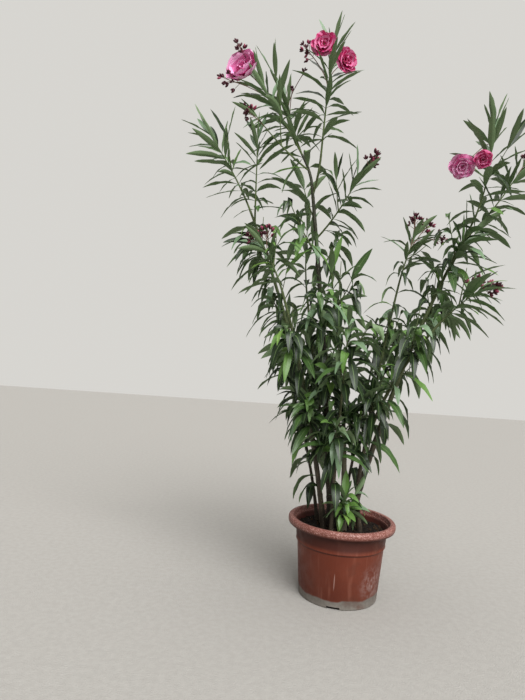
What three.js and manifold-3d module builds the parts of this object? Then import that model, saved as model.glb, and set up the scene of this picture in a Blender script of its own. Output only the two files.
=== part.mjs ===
// A potted oleander: a clump of long canes in a round plastic pot of soil. Leaves stand in whorls
// of three along the young wood, and a few shoots end in double pink flowers or heads of buds.
// Millimetres, +Z up, +X to the right as the plant is seen from the front, -Y towards the viewer.
// The origin is the centre of the pot's flat underside.
import * as THREE from "three";
import { mergeVertices } from "three/addons/utils/BufferGeometryUtils.js";
import Module from "manifold-3d";

const wasm = await Module();
wasm.setup();

// The gap between neighbouring pieces, and how close two vertices may come before they are one:
// in a shape as it is made, and in a joined solid
const GAP = 0.3;
const WELD_DISTANCE = 1e-4;
const MERGE_DISTANCE = 1e-3;

// The pot
const POT_HEIGHT = 284;
const POT_SIDES = 36;
const FOOT_RADIUS = 146;
const FOOT_EDGE = 5;
const BAND_HEIGHT = 34;
const BAND_RADIUS = 147.5;
const STEP_HEIGHT = 196;
const STEP_RADIUS = 163;
const STEP_DEPTH = 2.5;
const NECK_HEIGHT = 258;
const NECK_RADIUS = 171;
const RIM_RADIUS = 200;
const RIM_ROLL = 13;
const MOUTH_RADIUS = 180;
const POT_WALL = 4.5;
const POT_FLOOR = 14;
const FLOOR_TAPER = 1;
const NOTCH_COUNT = 4;
const NOTCH_WIDTH = 47;
const NOTCH_HEIGHT = 9;
const NOTCH_DEPTH = 9;
const NOTCH_BEARING = 14;

// The soil
const SOIL_TOP = 252;
const SOIL_EDGE_DROP = 4;
const SOIL_LEVEL_SHARE = 0.9;
const SOIL_CLEARANCE = 0.5;

// The stems
const STEM_SIDES = 7;
const STEM_STEP = 140;
const FEWEST_STEPS = 2;
const FLARE_SHARE = 0.45;
const FLARE_HEIGHT = 45;
const GROWTH_PULL = 0.4;

// Leafy shoots: three-sided stems with leaves in whorls of three
const TWIG_SIDES = 3;
const SHOOT_RADIUS = 5;
const SHOOT_TIP_RADIUS = 3;
const SIDE_SHOOT_RISE = 0.35;
const TWIG_RADIUS = 4;
const TWIG_TIP_RADIUS = 2.6;
const TWIG_SPREAD = 0.72;
const TWIG_RISE = 15;
const TWIG_PULL = 0.5;
const TWIG_WHORLS = 2;
const LOWEST_TWIG = 0.25;
const TWIG_STRETCH = 0.5;
const SHORTEST_TWIG = 0.7;
const STEEP = 0.9;
const GOLDEN_ANGLE = 2.39996;
const LEAVES_IN_WHORL = 3;
const FIRST_WHORL = 0.16;
const LAST_WHORL = 0.985;
const TURN_SCATTER = 0.6;
const WIDEST_ANGLE = 1.15;
const NARROWEST_ANGLE = 0.35;
const UPTURN = 1.3;
const ANGLE_SCATTER = 0.35;
const TIP_SHARE = 0.7;
const TIP_LEAF_SHARE = 0.85;
const LENGTH_SCATTER = 0.24;
const DROOP_SCATTER = 0.7;
const DROOP_AT_FOOT = 1.15;
const DROOP_PULL = 0.87;
const LEAF_SLENDERNESS = 4.3;
const LEAF_THICKNESS_SHARE = 0.024;
const LEAF_ROOT_DEPTH = 1.2;
const LEAF_WIDEST = 0.45;
const STIFF_LEAF_BEND = 0.5;
const HANGING_LEAF_BEND = 0.42;
const BENT_LENGTH = 1.05;
const LEAF_ROOT_SHARE = 0.12;
const LEAF_MARGIN = 0.5;
const LEAF_ROLL = 1.1;
const SPACE_SHARE = 1.35;

// Flowers and buds
const HIGHEST_STALK = 0.8;
const STALK_SPACING = 0.11;
const STALK_PULL = 0.35;
const BLOOM_FLATNESS = 0.72;
const BLOOM_RUFFLE = 0.1;
const BLOOM_PETALS = 4;
const BLOOM_FACETS = 8;
const BUDS_IN_HEAD = 3;
const BUD_LENGTH = 58;
const BUD_RADIUS = 6.5;
const BUD_SPACING = 9;
const BUD_WIDEST = 0.8;
const BUD_LEAN = 0.15;
const BUD_LEAN_STEP = 0.35;

const UP = new THREE.Vector3(0, 0, 1);
const DOWN = new THREE.Vector3(0, 0, -1);

// Each limb stands on the soil at its foot or grows on another limb, at a share of its length,
// and runs to its tip with a bow: how far its middle stands off the straight line, in X and Y.
// The girth is its diameter at the foot and at the tip.
const LIMBS = [
  { name: "stem_main", foot: [-38, 0], tip: [-194, 0, 1540], bow: [10, 8], girth: [29, 12] },
  { name: "bough_main_left", on: "stem_main", tip: [-238, 15, 1660], bow: [3, 2], girth: [11.5, 9.5] },
  {
    name: "bough_main_right", on: "stem_main", at: 0.97, tip: [-168, -16, 1655],
    bow: [4, -3], girth: [9, 8.5],
  },
  { name: "stem_left", foot: [-66, 24], tip: [-427, 50, 1442], bow: [44, 0], girth: [20, 9] },
  { name: "stem_left_inner", foot: [-72, -34], tip: [-285, -120, 1109], bow: [22, 0], girth: [16, 9] },
  { name: "stem_left_back", foot: [-84, 70], tip: [-215, 150, 760], bow: [15, 10], girth: [13, 8] },
  { name: "stem_back", foot: [-28, 58], tip: [-176, 120, 1132], bow: [0, 18], girth: [15, 9] },
  { name: "stem_thin", foot: [-2, -38], tip: [-62, -70, 916], bow: [12, -8], girth: [24, 8] },
  { name: "stem_right", foot: [31, 4], tip: [437, 40, 1427], bow: [-38, 0], girth: [24, 9] },
  { name: "stem_right_front", foot: [62, -44], tip: [285, -140, 1034], bow: [-100, 0], girth: [16, 9] },
  { name: "stem_right_back", foot: [52, 52], tip: [190, 110, 1200], bow: [-10, 10], girth: [15, 8] },
  { name: "stem_front", foot: [-50, -86], tip: [-60, -205, 760], bow: [0, 20], girth: [13, 8] },
  { name: "stem_back_right", foot: [10, 98], tip: [105, 165, 800], bow: [0, -10], girth: [13, 8] },
];

// Each mass of leaves grows on a limb, at a share of its length or from its tip, or from the soil.
// Its stem runs to its own tip. whorls: on the stem; leaf: length of a full leaf; droop: 0 stiff
// to 1 hanging; twigs: side twigs; blooms: where flowers stand, and their radius; buds: where
// heads of buds stand.
const MASSES = [
  {
    name: "leaves_top", on: "bough_main_right", tip: [-152, -48, 2050], whorls: 7, leaf: 140, droop: 0.5,
    blooms: [[-190, -70, 2052, 47], [-92, -38, 2012, 42]],
  },
  {
    name: "leaves_top_left", on: "bough_main_left", tip: [-418, 24, 1932], whorls: 6, leaf: 150, droop: 0.5,
    twigs: 1, blooms: [[-492, 0, 1985, 53]],
  },
  {
    name: "leaves_top_inner", on: "bough_main_left", at: 0.5, tip: [-318, 110, 1935],
    whorls: 4, leaf: 120, droop: 0.35,
  },
  {
    name: "leaves_top_stalk", on: "bough_main_left", at: 0.45, tip: [-420, -30, 1775], whorls: 2, leaf: 110,
    droop: 0.6, buds: [[-445, -34, 1785]],
  },
  {
    name: "leaves_main_side", on: "stem_main", at: 0.84, tip: [-30, -60, 1550],
    whorls: 5, leaf: 130, droop: 0.6, buds: [[5, -72, 1590]],
  },
  {
    name: "leaves_main_back", on: "stem_main", at: 0.9, tip: [-215, 120, 1560],
    whorls: 4, leaf: 140, droop: 0.65,
  },
  {
    name: "leaves_main_upper_left", on: "stem_main", at: 0.79, tip: [-268, -70, 1430],
    whorls: 5, leaf: 150, droop: 0.85,
  },
  {
    name: "leaves_main_upper_right", on: "stem_main", at: 0.74, tip: [-72, 62, 1362],
    whorls: 4, leaf: 150, droop: 0.85,
  },
  {
    name: "leaves_main_middle_right", on: "stem_main", at: 0.6, tip: [-20, -50, 1150],
    whorls: 4, leaf: 155, droop: 0.9,
  },
  {
    name: "leaves_main_middle_front", on: "stem_main", at: 0.55, tip: [-160, -150, 1090],
    whorls: 4, leaf: 155, droop: 0.9,
  },
  {
    name: "leaves_main_low_front", on: "stem_main", at: 0.34, tip: [-95, -135, 820],
    whorls: 4, leaf: 150, droop: 0.8,
  },
  {
    name: "leaves_main_foot", on: "stem_main", at: 0.17, tip: [-85, -85, 600],
    whorls: 4, leaf: 130, droop: 0.85,
  },
  {
    name: "leaves_main_low_back", on: "stem_main", at: 0.4, tip: [-60, 110, 880],
    whorls: 4, leaf: 155, droop: 0.9,
  },
  {
    name: "leaves_left_outer", on: "stem_left", tip: [-605, 62, 1735],
    whorls: 6, leaf: 125, droop: 0.5, twigs: 1,
  },
  {
    name: "leaves_left_inner", on: "stem_left", at: 0.955, tip: [-414, 30, 1715],
    whorls: 5, leaf: 120, droop: 0.5,
  },
  {
    name: "leaves_left_upper", on: "stem_left", at: 0.8, tip: [-405, -10, 1310],
    whorls: 5, leaf: 155, droop: 0.85,
  },
  {
    name: "leaves_left_middle", on: "stem_left", at: 0.62, tip: [-325, 60, 1120],
    whorls: 4, leaf: 155, droop: 0.9,
  },
  {
    name: "leaves_left_back", on: "stem_left", at: 0.5, tip: [-235, 150, 930],
    whorls: 4, leaf: 155, droop: 0.9,
  },
  {
    name: "leaves_left_low", on: "stem_left", at: 0.3, tip: [-190, 0, 735],
    whorls: 5, leaf: 145, droop: 0.8,
  },
  {
    name: "leaves_left_foot", on: "stem_left", at: 0.15, tip: [-125, 50, 600],
    whorls: 4, leaf: 130, droop: 0.8,
  },
  {
    name: "leaves_inner_tip", on: "stem_left_inner", tip: [-368, -140, 1270],
    whorls: 5, leaf: 135, droop: 0.65, buds: [[-392, -142, 1290], [-352, -146, 1296]],
  },
  {
    name: "leaves_inner_middle", on: "stem_left_inner", at: 0.72, tip: [-262, -180, 960],
    whorls: 4, leaf: 155, droop: 0.9,
  },
  {
    name: "leaves_inner_low", on: "stem_left_inner", at: 0.42, tip: [-165, -120, 690],
    whorls: 5, leaf: 145, droop: 0.8,
  },
  {
    name: "leaves_inner_foot", on: "stem_left_inner", at: 0.22, tip: [-115, -60, 560],
    whorls: 4, leaf: 125, droop: 0.85,
  },
  {
    name: "leaves_left_back_tip", on: "stem_left_back", tip: [-250, 185, 1010],
    whorls: 5, leaf: 150, droop: 0.8,
  },
  {
    name: "leaves_back_low", on: "stem_back", at: 0.35, tip: [-95, 150, 700],
    whorls: 4, leaf: 145, droop: 0.8,
  },
  {
    name: "leaves_back_tip", on: "stem_back", tip: [-190, 150, 1400],
    whorls: 5, leaf: 140, droop: 0.65,
  },
  {
    name: "leaves_back_middle", on: "stem_back", at: 0.66, tip: [-110, 185, 930],
    whorls: 4, leaf: 150, droop: 0.9,
  },
  {
    name: "leaves_thin_tip", on: "stem_thin", tip: [-110, -105, 1190],
    whorls: 5, leaf: 140, droop: 0.7, twigs: 1,
  },
  {
    name: "leaves_thin_low", on: "stem_thin", at: 0.5, tip: [12, -115, 720],
    whorls: 4, leaf: 145, droop: 0.8,
  },
  {
    name: "leaves_right_tip", on: "stem_right", tip: [508, 42, 1830],
    whorls: 6, leaf: 155, droop: 0.5, twigs: 1, blooms: [[376, -8, 1646, 44], [440, -42, 1664, 31]],
  },
  {
    name: "leaves_right_fork", on: "stem_right", at: 0.955, tip: [640, 62, 1690],
    whorls: 5, leaf: 145, droop: 0.5, buds: [[655, 62, 1715]],
  },
  {
    name: "leaves_right_upper", on: "stem_right", at: 0.82, tip: [390, -50, 1370],
    whorls: 5, leaf: 145, droop: 0.7, twigs: 1,
  },
  {
    name: "leaves_right_middle", on: "stem_right", at: 0.66, tip: [348, 92, 1120],
    whorls: 4, leaf: 155, droop: 0.9, twigs: 1,
  },
  {
    name: "leaves_right_low", on: "stem_right", at: 0.42, tip: [185, 55, 860],
    whorls: 4, leaf: 145, droop: 0.8, twigs: 1,
  },
  {
    name: "leaves_right_front_tip", on: "stem_right_front", tip: [405, -150, 1150],
    whorls: 5, leaf: 140, droop: 0.65, buds: [[420, -152, 1160]],
  },
  {
    name: "leaves_right_front_middle", on: "stem_right_front", at: 0.8, tip: [180, -175, 985],
    whorls: 4, leaf: 155, droop: 0.95,
  },
  {
    name: "leaves_right_front_low", on: "stem_right_front", at: 0.5, tip: [55, -140, 745],
    whorls: 4, leaf: 145, droop: 0.8,
  },
  {
    name: "leaves_right_back_tip", on: "stem_right_back", tip: [246, 122, 1400],
    whorls: 5, leaf: 130, droop: 0.6, buds: [[300, 126, 1420], [248, 118, 1430]],
  },
  {
    name: "leaves_right_back_middle", on: "stem_right_back", at: 0.68, tip: [200, 190, 1000],
    whorls: 4, leaf: 150, droop: 0.9,
  },
  {
    name: "leaves_right_back_low", on: "stem_right_back", at: 0.36, tip: [110, 125, 740],
    whorls: 4, leaf: 145, droop: 0.8,
  },
  {
    name: "leaves_front_low", on: "stem_front", at: 0.5, tip: [-70, -190, 640],
    whorls: 4, leaf: 140, droop: 0.8,
  },
  {
    name: "leaves_front_tip", on: "stem_front", tip: [-60, -255, 990],
    whorls: 5, leaf: 150, droop: 0.8, twigs: 1,
  },
  {
    name: "leaves_back_right_tip", on: "stem_back_right", tip: [140, 190, 1040],
    whorls: 5, leaf: 150, droop: 0.8, twigs: 1,
  },
  { name: "leaves_sprout", foot: [-14, -98], tip: [-12, -106, 384], whorls: 6, leaf: 94, droop: 0.75 },
];

const POT_COLOUR = 0x9a4a36;
const SOIL_COLOUR = 0x1d1713;
const BARK_COLOUR = 0x4a4232;
const LEAF_COLOUR = 0x3c6238;

// A material of one plain surface.
function surface(color, roughness) {
  return new THREE.MeshStandardMaterial({ color, roughness, metalness: 0 });
}

// A generator of the same shares from 0 to 1 each time, for one seed.
function seededRandom(seed) {
  const modulus = 2147483647;
  const factor = 16807;
  let state = (seed * 7919 + 104729) % modulus;
  return () => {
    state = (state * factor) % modulus;
    return state / modulus;
  };
}

// A closed geometry as a solid that can be joined and cut.
function solidOf(geometry, mergeDistance = WELD_DISTANCE) {
  const bare = geometry.index ? geometry.toNonIndexed() : geometry.clone();
  bare.deleteAttribute("normal");
  bare.deleteAttribute("uv");
  const merged = mergeVertices(bare, mergeDistance);
  const triVerts = new Uint32Array(merged.index.array);
  const vertProperties = new Float32Array(merged.attributes.position.array);
  return new wasm.Manifold(new wasm.Mesh({ numProp: 3, vertProperties, triVerts }));
}

// A solid as the geometry of a mesh, with its own flat faces.
function geometryOf(solid) {
  const { vertProperties, triVerts } = solid.getMesh();
  const indexed = new THREE.BufferGeometry();
  indexed.setAttribute("position", new THREE.BufferAttribute(vertProperties, 3));
  indexed.setIndex(new THREE.BufferAttribute(triVerts, 1));
  const geometry = indexed.toNonIndexed();
  geometry.computeVertexNormals();
  return geometry;
}

// The largest body of a solid: loose scraps are dropped and sealed hollows are filled. The solid
// is first made again from its mesh with close vertices merged, which can pinch off more of them.
function largestBody(solid) {
  const settled = solidOf(geometryOf(solid), MERGE_DISTANCE);
  return settled.decompose().sort((a, b) => b.volume() - a.volume())[0];
}

// A profile of [radius, height] pairs turned round the Z axis.
function turned(profile) {
  const points = profile.map(([radius, height]) => new THREE.Vector2(radius, height));
  return new THREE.LatheGeometry(points, POT_SIDES).rotateX(Math.PI / 2);
}

// The pot: a tapering wall with a stepped upper band, a rolled rim, and drain notches in its foot.
function potSolid() {
  const inner = (radius) => radius - POT_WALL;
  const profile = [
    [0, 0],
    [FOOT_RADIUS - FOOT_EDGE, 0],
    [FOOT_RADIUS, FOOT_EDGE],
    [BAND_RADIUS, BAND_HEIGHT],
    [STEP_RADIUS, STEP_HEIGHT],
    [STEP_RADIUS + STEP_DEPTH, STEP_HEIGHT + STEP_DEPTH],
    [NECK_RADIUS, NECK_HEIGHT + RIM_ROLL / 3],
    [RIM_RADIUS - RIM_ROLL / 4, NECK_HEIGHT],
    [RIM_RADIUS, NECK_HEIGHT + RIM_ROLL],
    [RIM_RADIUS - RIM_ROLL / 3, POT_HEIGHT - RIM_ROLL / 4],
    [RIM_RADIUS - RIM_ROLL, POT_HEIGHT],
    [MOUTH_RADIUS, POT_HEIGHT - RIM_ROLL / 5],
    [MOUTH_RADIUS - RIM_ROLL / 2, POT_HEIGHT - RIM_ROLL],
    [inner(NECK_RADIUS), NECK_HEIGHT],
    [inner(STEP_RADIUS), STEP_HEIGHT],
    [inner(BAND_RADIUS) - FLOOR_TAPER, POT_FLOOR],
    [0, POT_FLOOR],
  ];
  let pot = solidOf(turned(profile));
  for (let i = 0; i < NOTCH_COUNT; i++) {
    const notch = new THREE.BoxGeometry(NOTCH_WIDTH, 2 * NOTCH_DEPTH, 2 * NOTCH_HEIGHT);
    notch.translate(0, -FOOT_RADIUS, 0);
    notch.rotateZ(THREE.MathUtils.degToRad((360 / NOTCH_COUNT) * i - NOTCH_BEARING));
    pot = pot.subtract(solidOf(notch));
  }
  return pot;
}

// The soil: it fills the pot to a flat top that falls a little at the wall.
function soilSolid() {
  const inset = POT_WALL + SOIL_CLEARANCE;
  const neckShare = (SOIL_TOP - STEP_HEIGHT) / (NECK_HEIGHT - STEP_HEIGHT);
  const topRadius = STEP_RADIUS + (NECK_RADIUS - STEP_RADIUS) * neckShare;
  const profile = [
    [0, POT_FLOOR + SOIL_CLEARANCE],
    [BAND_RADIUS - inset - FLOOR_TAPER, POT_FLOOR + SOIL_CLEARANCE],
    [STEP_RADIUS - inset, STEP_HEIGHT],
    [topRadius - inset - SOIL_CLEARANCE, SOIL_TOP - SOIL_EDGE_DROP],
    [topRadius * SOIL_LEVEL_SHARE, SOIL_TOP],
    [0, SOIL_TOP],
  ];
  return solidOf(turned(profile));
}

// A closed stem along a curve. radiusAt gives its radius at a share of its length, and a level
// foot is cut flat at the height of the curve's first point.
function stemGeometry(curve, radiusAt, sides, levelFoot) {
  const steps = Math.max(FEWEST_STEPS, Math.round(curve.getLength() / STEM_STEP));
  const geometry = new THREE.CylinderGeometry(1, 1, 1, sides, steps);
  const { tangents, normals, binormals } = curve.computeFrenetFrames(steps, false);
  const position = geometry.attributes.position;
  const foot = curve.getPointAt(0);
  for (let i = 0; i < position.count; i++) {
    const step = Math.round((position.getY(i) + 0.5) * steps);
    const radius = radiusAt(step / steps);
    const point = curve.getPointAt(step / steps);
    point.addScaledVector(normals[step], position.getX(i) * radius);
    point.addScaledVector(binormals[step], -position.getZ(i) * radius);
    if (levelFoot && step === 0) {
      point.addScaledVector(tangents[0], (foot.z - point.z) / tangents[0].z);
    }
    position.setXYZ(i, point.x, point.y, point.z);
  }
  return geometry;
}

// The curve of a limb or shoot that leaves start in a direction and ends at tip.
function sweep(start, direction, tip, pull) {
  const control = start.clone().addScaledVector(direction, start.distanceTo(tip) * pull);
  return new THREE.QuadraticBezierCurve3(start, control, tip);
}

// The course of a limb: from the soil, on from its parent's tip, or out of its parent's side.
function limbCurve(spec, limbs) {
  const tip = new THREE.Vector3(...spec.tip);
  const parent = limbs.get(spec.on);
  let start = new THREE.Vector3(...(spec.foot ?? [0, 0]), SOIL_TOP + GAP);
  if (parent) {
    start = parent.curve.getPointAt(spec.at ?? 1);
  }
  if (parent && spec.at === undefined) {
    start.addScaledVector(parent.curve.getTangentAt(1), GAP);
    return sweep(start, parent.curve.getTangentAt(1), tip, GROWTH_PULL);
  }
  const bow = new THREE.Vector3(...spec.bow, 0);
  const control = start.clone().lerp(tip, 0.5).addScaledVector(bow, 2);
  return new THREE.QuadraticBezierCurve3(start, control, tip);
}

// A limb: one tapering stem, with a flare where it leaves the soil, cut clear of its parent.
function growLimb(spec, limbs) {
  const curve = limbCurve(spec, limbs);
  const length = curve.getLength();
  const [footGirth, tipGirth] = spec.girth;
  const radiusAt = (share) => {
    const flare = spec.foot ? FLARE_SHARE * Math.exp((-share * length) / FLARE_HEIGHT) : 0;
    return THREE.MathUtils.lerp(footGirth, tipGirth, share) * 0.5 * (1 + flare);
  };
  let solid = solidOf(stemGeometry(curve, radiusAt, STEM_SIDES, Boolean(spec.foot)));
  const sleeve = solidOf(stemGeometry(curve, (share) => radiusAt(share) + GAP, STEM_SIDES, false));
  if (spec.at !== undefined) {
    solid = largestBody(solid.subtract(limbs.get(spec.on).sleeve));
  }
  return { curve, solid, sleeve };
}

// The course of a mass's stem: on from its limb's tip, out of its side and then up, or from the soil.
function massCurve(spec, limbs) {
  const tip = new THREE.Vector3(...spec.tip);
  if (spec.foot) {
    return sweep(new THREE.Vector3(...spec.foot, SOIL_TOP + GAP), UP, tip, GROWTH_PULL);
  }
  const parent = limbs.get(spec.on).curve;
  if (spec.at === undefined) {
    const direction = parent.getTangentAt(1);
    return sweep(parent.getPointAt(1).addScaledVector(direction, GAP), direction, tip, GROWTH_PULL);
  }
  const start = parent.getPointAt(spec.at);
  const control = start.clone().lerp(tip, 0.5);
  control.z = THREE.MathUtils.lerp(start.z, tip.z, SIDE_SHOOT_RISE);
  return new THREE.QuadraticBezierCurve3(start, control, tip);
}

// Two directions across a stem, square to it and to each other.
function crossways(tangent) {
  const helper = Math.abs(tangent.z) > STEEP ? new THREE.Vector3(1, 0, 0) : UP;
  const across = new THREE.Vector3().crossVectors(helper, tangent).normalize();
  return [across, new THREE.Vector3().crossVectors(tangent, across)];
}

// The direction across a stem at a turn round it.
function outwards(tangent, turn) {
  const [across, over] = crossways(tangent);
  return across.multiplyScalar(Math.cos(turn)).addScaledVector(over, Math.sin(turn));
}

// The direction that leans off a stem's own by an angle, towards the outside.
function leaning(tangent, out, angle) {
  return tangent.clone().multiplyScalar(Math.cos(angle)).addScaledVector(out, Math.sin(angle));
}

// A random share about nothing, within half a range on each side.
function scatter(random, range) {
  return (random() - 0.5) * range;
}

// One blade of six faces along a curve: a leaf keeled below its midrib, or a bud on its stalk.
// The widest place is at a share of the curve and lies square to the blade's run there, however
// far the blade is bent. Width and thickness are its full sizes there.
function bladeGeometry(curve, side, widestAt, width, thickness) {
  const geometry = new THREE.SphereGeometry(1, 3, 2);
  const position = geometry.attributes.position;
  const base = curve.getPoint(0);
  const middle = curve.getPoint(widestAt);
  const tip = curve.getPoint(1);
  const run = middle.clone().sub(base).normalize().add(tip.clone().sub(middle).normalize()).normalize();
  const across = side.clone().projectOnPlane(run).normalize();
  const normal = new THREE.Vector3().crossVectors(across, run);
  const reach = Math.sin(Math.PI / 3);
  const depth = 1 + Math.cos(Math.PI / 3);
  for (let i = 0; i < position.count; i++) {
    const point = middle.clone();
    if (Math.abs(position.getY(i)) > 0.5) {
      point.copy(position.getY(i) > 0 ? tip : base);
    } else {
      point.addScaledVector(across, (-position.getZ(i) * width) / (2 * reach));
      point.addScaledVector(normal, (position.getX(i) * thickness) / depth);
    }
    position.setXYZ(i, point.x, point.y, point.z);
  }
  return geometry;
}

// The courses of the leaves on one stem, by the seeded rule: whorls of three, each turned sixty
// degrees from the last, spreading low down and upright at the tip, and bent down by their weight.
function leafCourses(curve, spec, whorls, random) {
  const courses = [];
  for (let whorl = 0; whorl < whorls; whorl++) {
    const climb = whorls > 1 ? whorl / (whorls - 1) : 1;
    const along = THREE.MathUtils.lerp(FIRST_WHORL, LAST_WHORL, climb);
    const root = curve.getPointAt(along);
    const tangent = curve.getTangentAt(along);
    const spread = THREE.MathUtils.lerp(WIDEST_ANGLE, NARROWEST_ANGLE, climb ** UPTURN);
    const hang = spec.droop * THREE.MathUtils.lerp(DROOP_AT_FOOT, spec.droop, climb);
    const size = spec.leaf * (climb > TIP_SHARE ? TIP_LEAF_SHARE : 1);
    for (let i = 0; i < LEAVES_IN_WHORL; i++) {
      const turn = (whorl + 2 * i) * (Math.PI / 3) + scatter(random, TURN_SCATTER);
      const lean = spread + scatter(random, ANGLE_SCATTER);
      const length = size * (1 + scatter(random, LENGTH_SCATTER));
      const droop = Math.min(1, hang * (1 + scatter(random, DROOP_SCATTER)));
      const out = outwards(tangent, turn);
      const first = leaning(tangent, out, lean);
      const second = first.clone().lerp(DOWN, droop * DROOP_PULL).normalize();
      const base = root.clone().addScaledVector(first, -LEAF_ROOT_DEPTH);
      const reach = THREE.MathUtils.lerp(STIFF_LEAF_BEND, HANGING_LEAF_BEND, droop);
      const bend = base.clone().addScaledVector(first, length * reach);
      const tip = bend.clone().addScaledVector(second, length * (BENT_LENGTH - reach));
      const side = new THREE.Vector3().crossVectors(tangent, out).normalize();
      side.applyAxisAngle(first, scatter(random, LEAF_ROLL));
      courses.push({ curve: new THREE.QuadraticBezierCurve3(base, bend, tip), side, length });
    }
  }
  return courses;
}

// The side twigs of a mass's stem, turned round it by the golden angle.
function twigCurves(curve, spec, random) {
  const twigs = [];
  for (let i = 0; i < (spec.twigs ?? 0); i++) {
    const along = LOWEST_TWIG + (TWIG_STRETCH * (i + 0.5)) / spec.twigs;
    const start = curve.getPointAt(along);
    const tangent = curve.getTangentAt(along);
    const length = spec.leaf * THREE.MathUtils.lerp(SHORTEST_TWIG, 1, random());
    const direction = leaning(tangent, outwards(tangent, i * GOLDEN_ANGLE + random()), TWIG_SPREAD);
    const tip = start.clone().addScaledVector(direction, length).addScaledVector(UP, TWIG_RISE);
    twigs.push(sweep(start, direction, tip, TWIG_PULL));
  }
  return twigs;
}

// A three-sided stem along a curve with a radius at each end, as a solid.
function taperedSolid(curve, startRadius, endRadius, levelFoot) {
  const radiusAt = (share) => THREE.MathUtils.lerp(startRadius, endRadius, share);
  return solidOf(stemGeometry(curve, radiusAt, TWIG_SIDES, levelFoot));
}

// A double flower: a flattened ball ruffled into petals, facing away from its stalk.
function bloomSolid(centre, facing, radius) {
  const geometry = new THREE.SphereGeometry(radius, BLOOM_FACETS, BLOOM_FACETS / 2);
  const position = geometry.attributes.position;
  for (let i = 0; i < position.count; i++) {
    const turn = Math.atan2(position.getX(i), position.getZ(i));
    const ruffle = 1 + BLOOM_RUFFLE * Math.cos(BLOOM_PETALS * turn);
    position.setXYZ(
      i,
      position.getX(i) * ruffle,
      position.getY(i) * BLOOM_FLATNESS,
      position.getZ(i) * ruffle,
    );
  }
  geometry.applyQuaternion(new THREE.Quaternion().setFromUnitVectors(new THREE.Vector3(0, 1, 0), facing));
  return solidOf(geometry.translate(centre.x, centre.y, centre.z));
}

// A head of buds: clubs that spread from the end of a stalk, one above the other.
function budSolids(centre, direction) {
  const solids = [];
  for (let i = 0; i < BUDS_IN_HEAD; i++) {
    const lean = BUD_LEAN + BUD_LEAN_STEP * i;
    const out = outwards(direction, i * GOLDEN_ANGLE);
    const aim = leaning(direction, out, lean);
    const start = centre.clone().addScaledVector(direction, -BUD_SPACING * i - LEAF_ROOT_DEPTH);
    const curve = new THREE.LineCurve3(start, start.clone().addScaledVector(aim, BUD_LENGTH));
    const side = new THREE.Vector3().crossVectors(direction, out).normalize();
    solids.push(solidOf(bladeGeometry(curve, side, BUD_WIDEST, 2 * BUD_RADIUS, 2 * BUD_RADIUS)));
  }
  return solids;
}

// The stalk from a mass's stem to a flower or a head of buds. Each leaves the stem lower than the last.
function stalkCurve(curve, end, number) {
  const along = HIGHEST_STALK - STALK_SPACING * number;
  return sweep(curve.getPointAt(along), curve.getTangentAt(along), end, STALK_PULL);
}

// True where the boxes of two solids overlap and the solids share some space.
function touches(a, b) {
  const boxA = a.boundingBox();
  const boxB = b.boundingBox();
  for (let i = 0; i < 3; i++) {
    if (boxA.min[i] > boxB.max[i] || boxB.min[i] > boxA.max[i]) {
      return false;
    }
  }
  return !a.intersect(b).isEmpty();
}

// True where a piece meets nothing that is placed already. What is placed in its own mass may
// meet it near its root, so there only the part beyond the root is tested.
function isClear(piece, beyondRoot, name, placed) {
  return placed.every((other) => !touches(other.name === name ? beyondRoot : piece, other.solid));
}

// True where a leaf ends inside the space of its mass, a rounded column about its stem.
function staysInSpace(tip, curve, spec) {
  const axis = new THREE.Line3(curve.getPointAt(0), curve.getPointAt(1));
  return axis.closestPointToPoint(tip, true, new THREE.Vector3()).distanceTo(tip) < spec.leaf * SPACE_SHARE;
}

// The woody part of a mass: its stem, twigs, flowers and buds, with the courses of all its leaves.
function growWood(spec, number, limbs, placed) {
  const random = seededRandom(number + 1);
  const curve = massCurve(spec, limbs);
  let stem = taperedSolid(curve, SHOOT_RADIUS, SHOOT_TIP_RADIUS, Boolean(spec.foot));
  if (spec.at !== undefined) {
    stem = largestBody(stem.subtract(limbs.get(spec.on).sleeve));
  }
  const pieces = [stem];
  let courses = leafCourses(curve, spec, spec.whorls, random);
  for (const twig of twigCurves(curve, spec, random)) {
    const solid = taperedSolid(twig, TWIG_RADIUS, TWIG_TIP_RADIUS, false);
    const own = leafCourses(twig, spec, TWIG_WHORLS, random);
    if (isClear(solid, solid, spec.name, placed)) {
      pieces.push(solid);
      courses = courses.concat(own);
    }
  }
  const ends = [...(spec.blooms ?? []), ...(spec.buds ?? [])];
  for (const [i, [x, y, z, radius]] of ends.entries()) {
    const stalk = stalkCurve(curve, new THREE.Vector3(x, y, z), i);
    const centre = stalk.getPointAt(1);
    const facing = stalk.getTangentAt(1);
    pieces.push(taperedSolid(stalk, TWIG_TIP_RADIUS, TWIG_TIP_RADIUS, false));
    pieces.push(...(radius ? [bloomSolid(centre, facing, radius)] : budSolids(centre, facing)));
  }
  return { spec, curve, pieces, courses };
}

// A leaf's solid, grown by a margin on every side where asked.
function leafSolid({ curve, side, length }, margin) {
  const width = length / LEAF_SLENDERNESS + 2 * margin;
  const thickness = length * LEAF_THICKNESS_SHARE + 2 * margin;
  return solidOf(bladeGeometry(curve, side, LEAF_WIDEST, width, thickness));
}

// A leaf without the stretch next to its root.
function beyondRoot({ curve, side, length }) {
  const start = curve.getPoint(LEAF_ROOT_SHARE);
  const bend = curve.v1.clone().lerp(curve.v2, LEAF_ROOT_SHARE);
  const rest = new THREE.QuadraticBezierCurve3(start, bend, curve.v2);
  return leafSolid({ curve: rest, side, length }, LEAF_MARGIN);
}

const plant = new THREE.Group();

function addPart(name, solid, material) {
  const mesh = new THREE.Mesh(geometryOf(solid), material);
  mesh.name = name;
  plant.add(mesh);
}

const pot = potSolid();
const soil = soilSolid();
addPart("pot", pot, surface(POT_COLOUR, 0.6));
addPart("soil", soil, surface(SOIL_COLOUR, 0.95));

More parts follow.
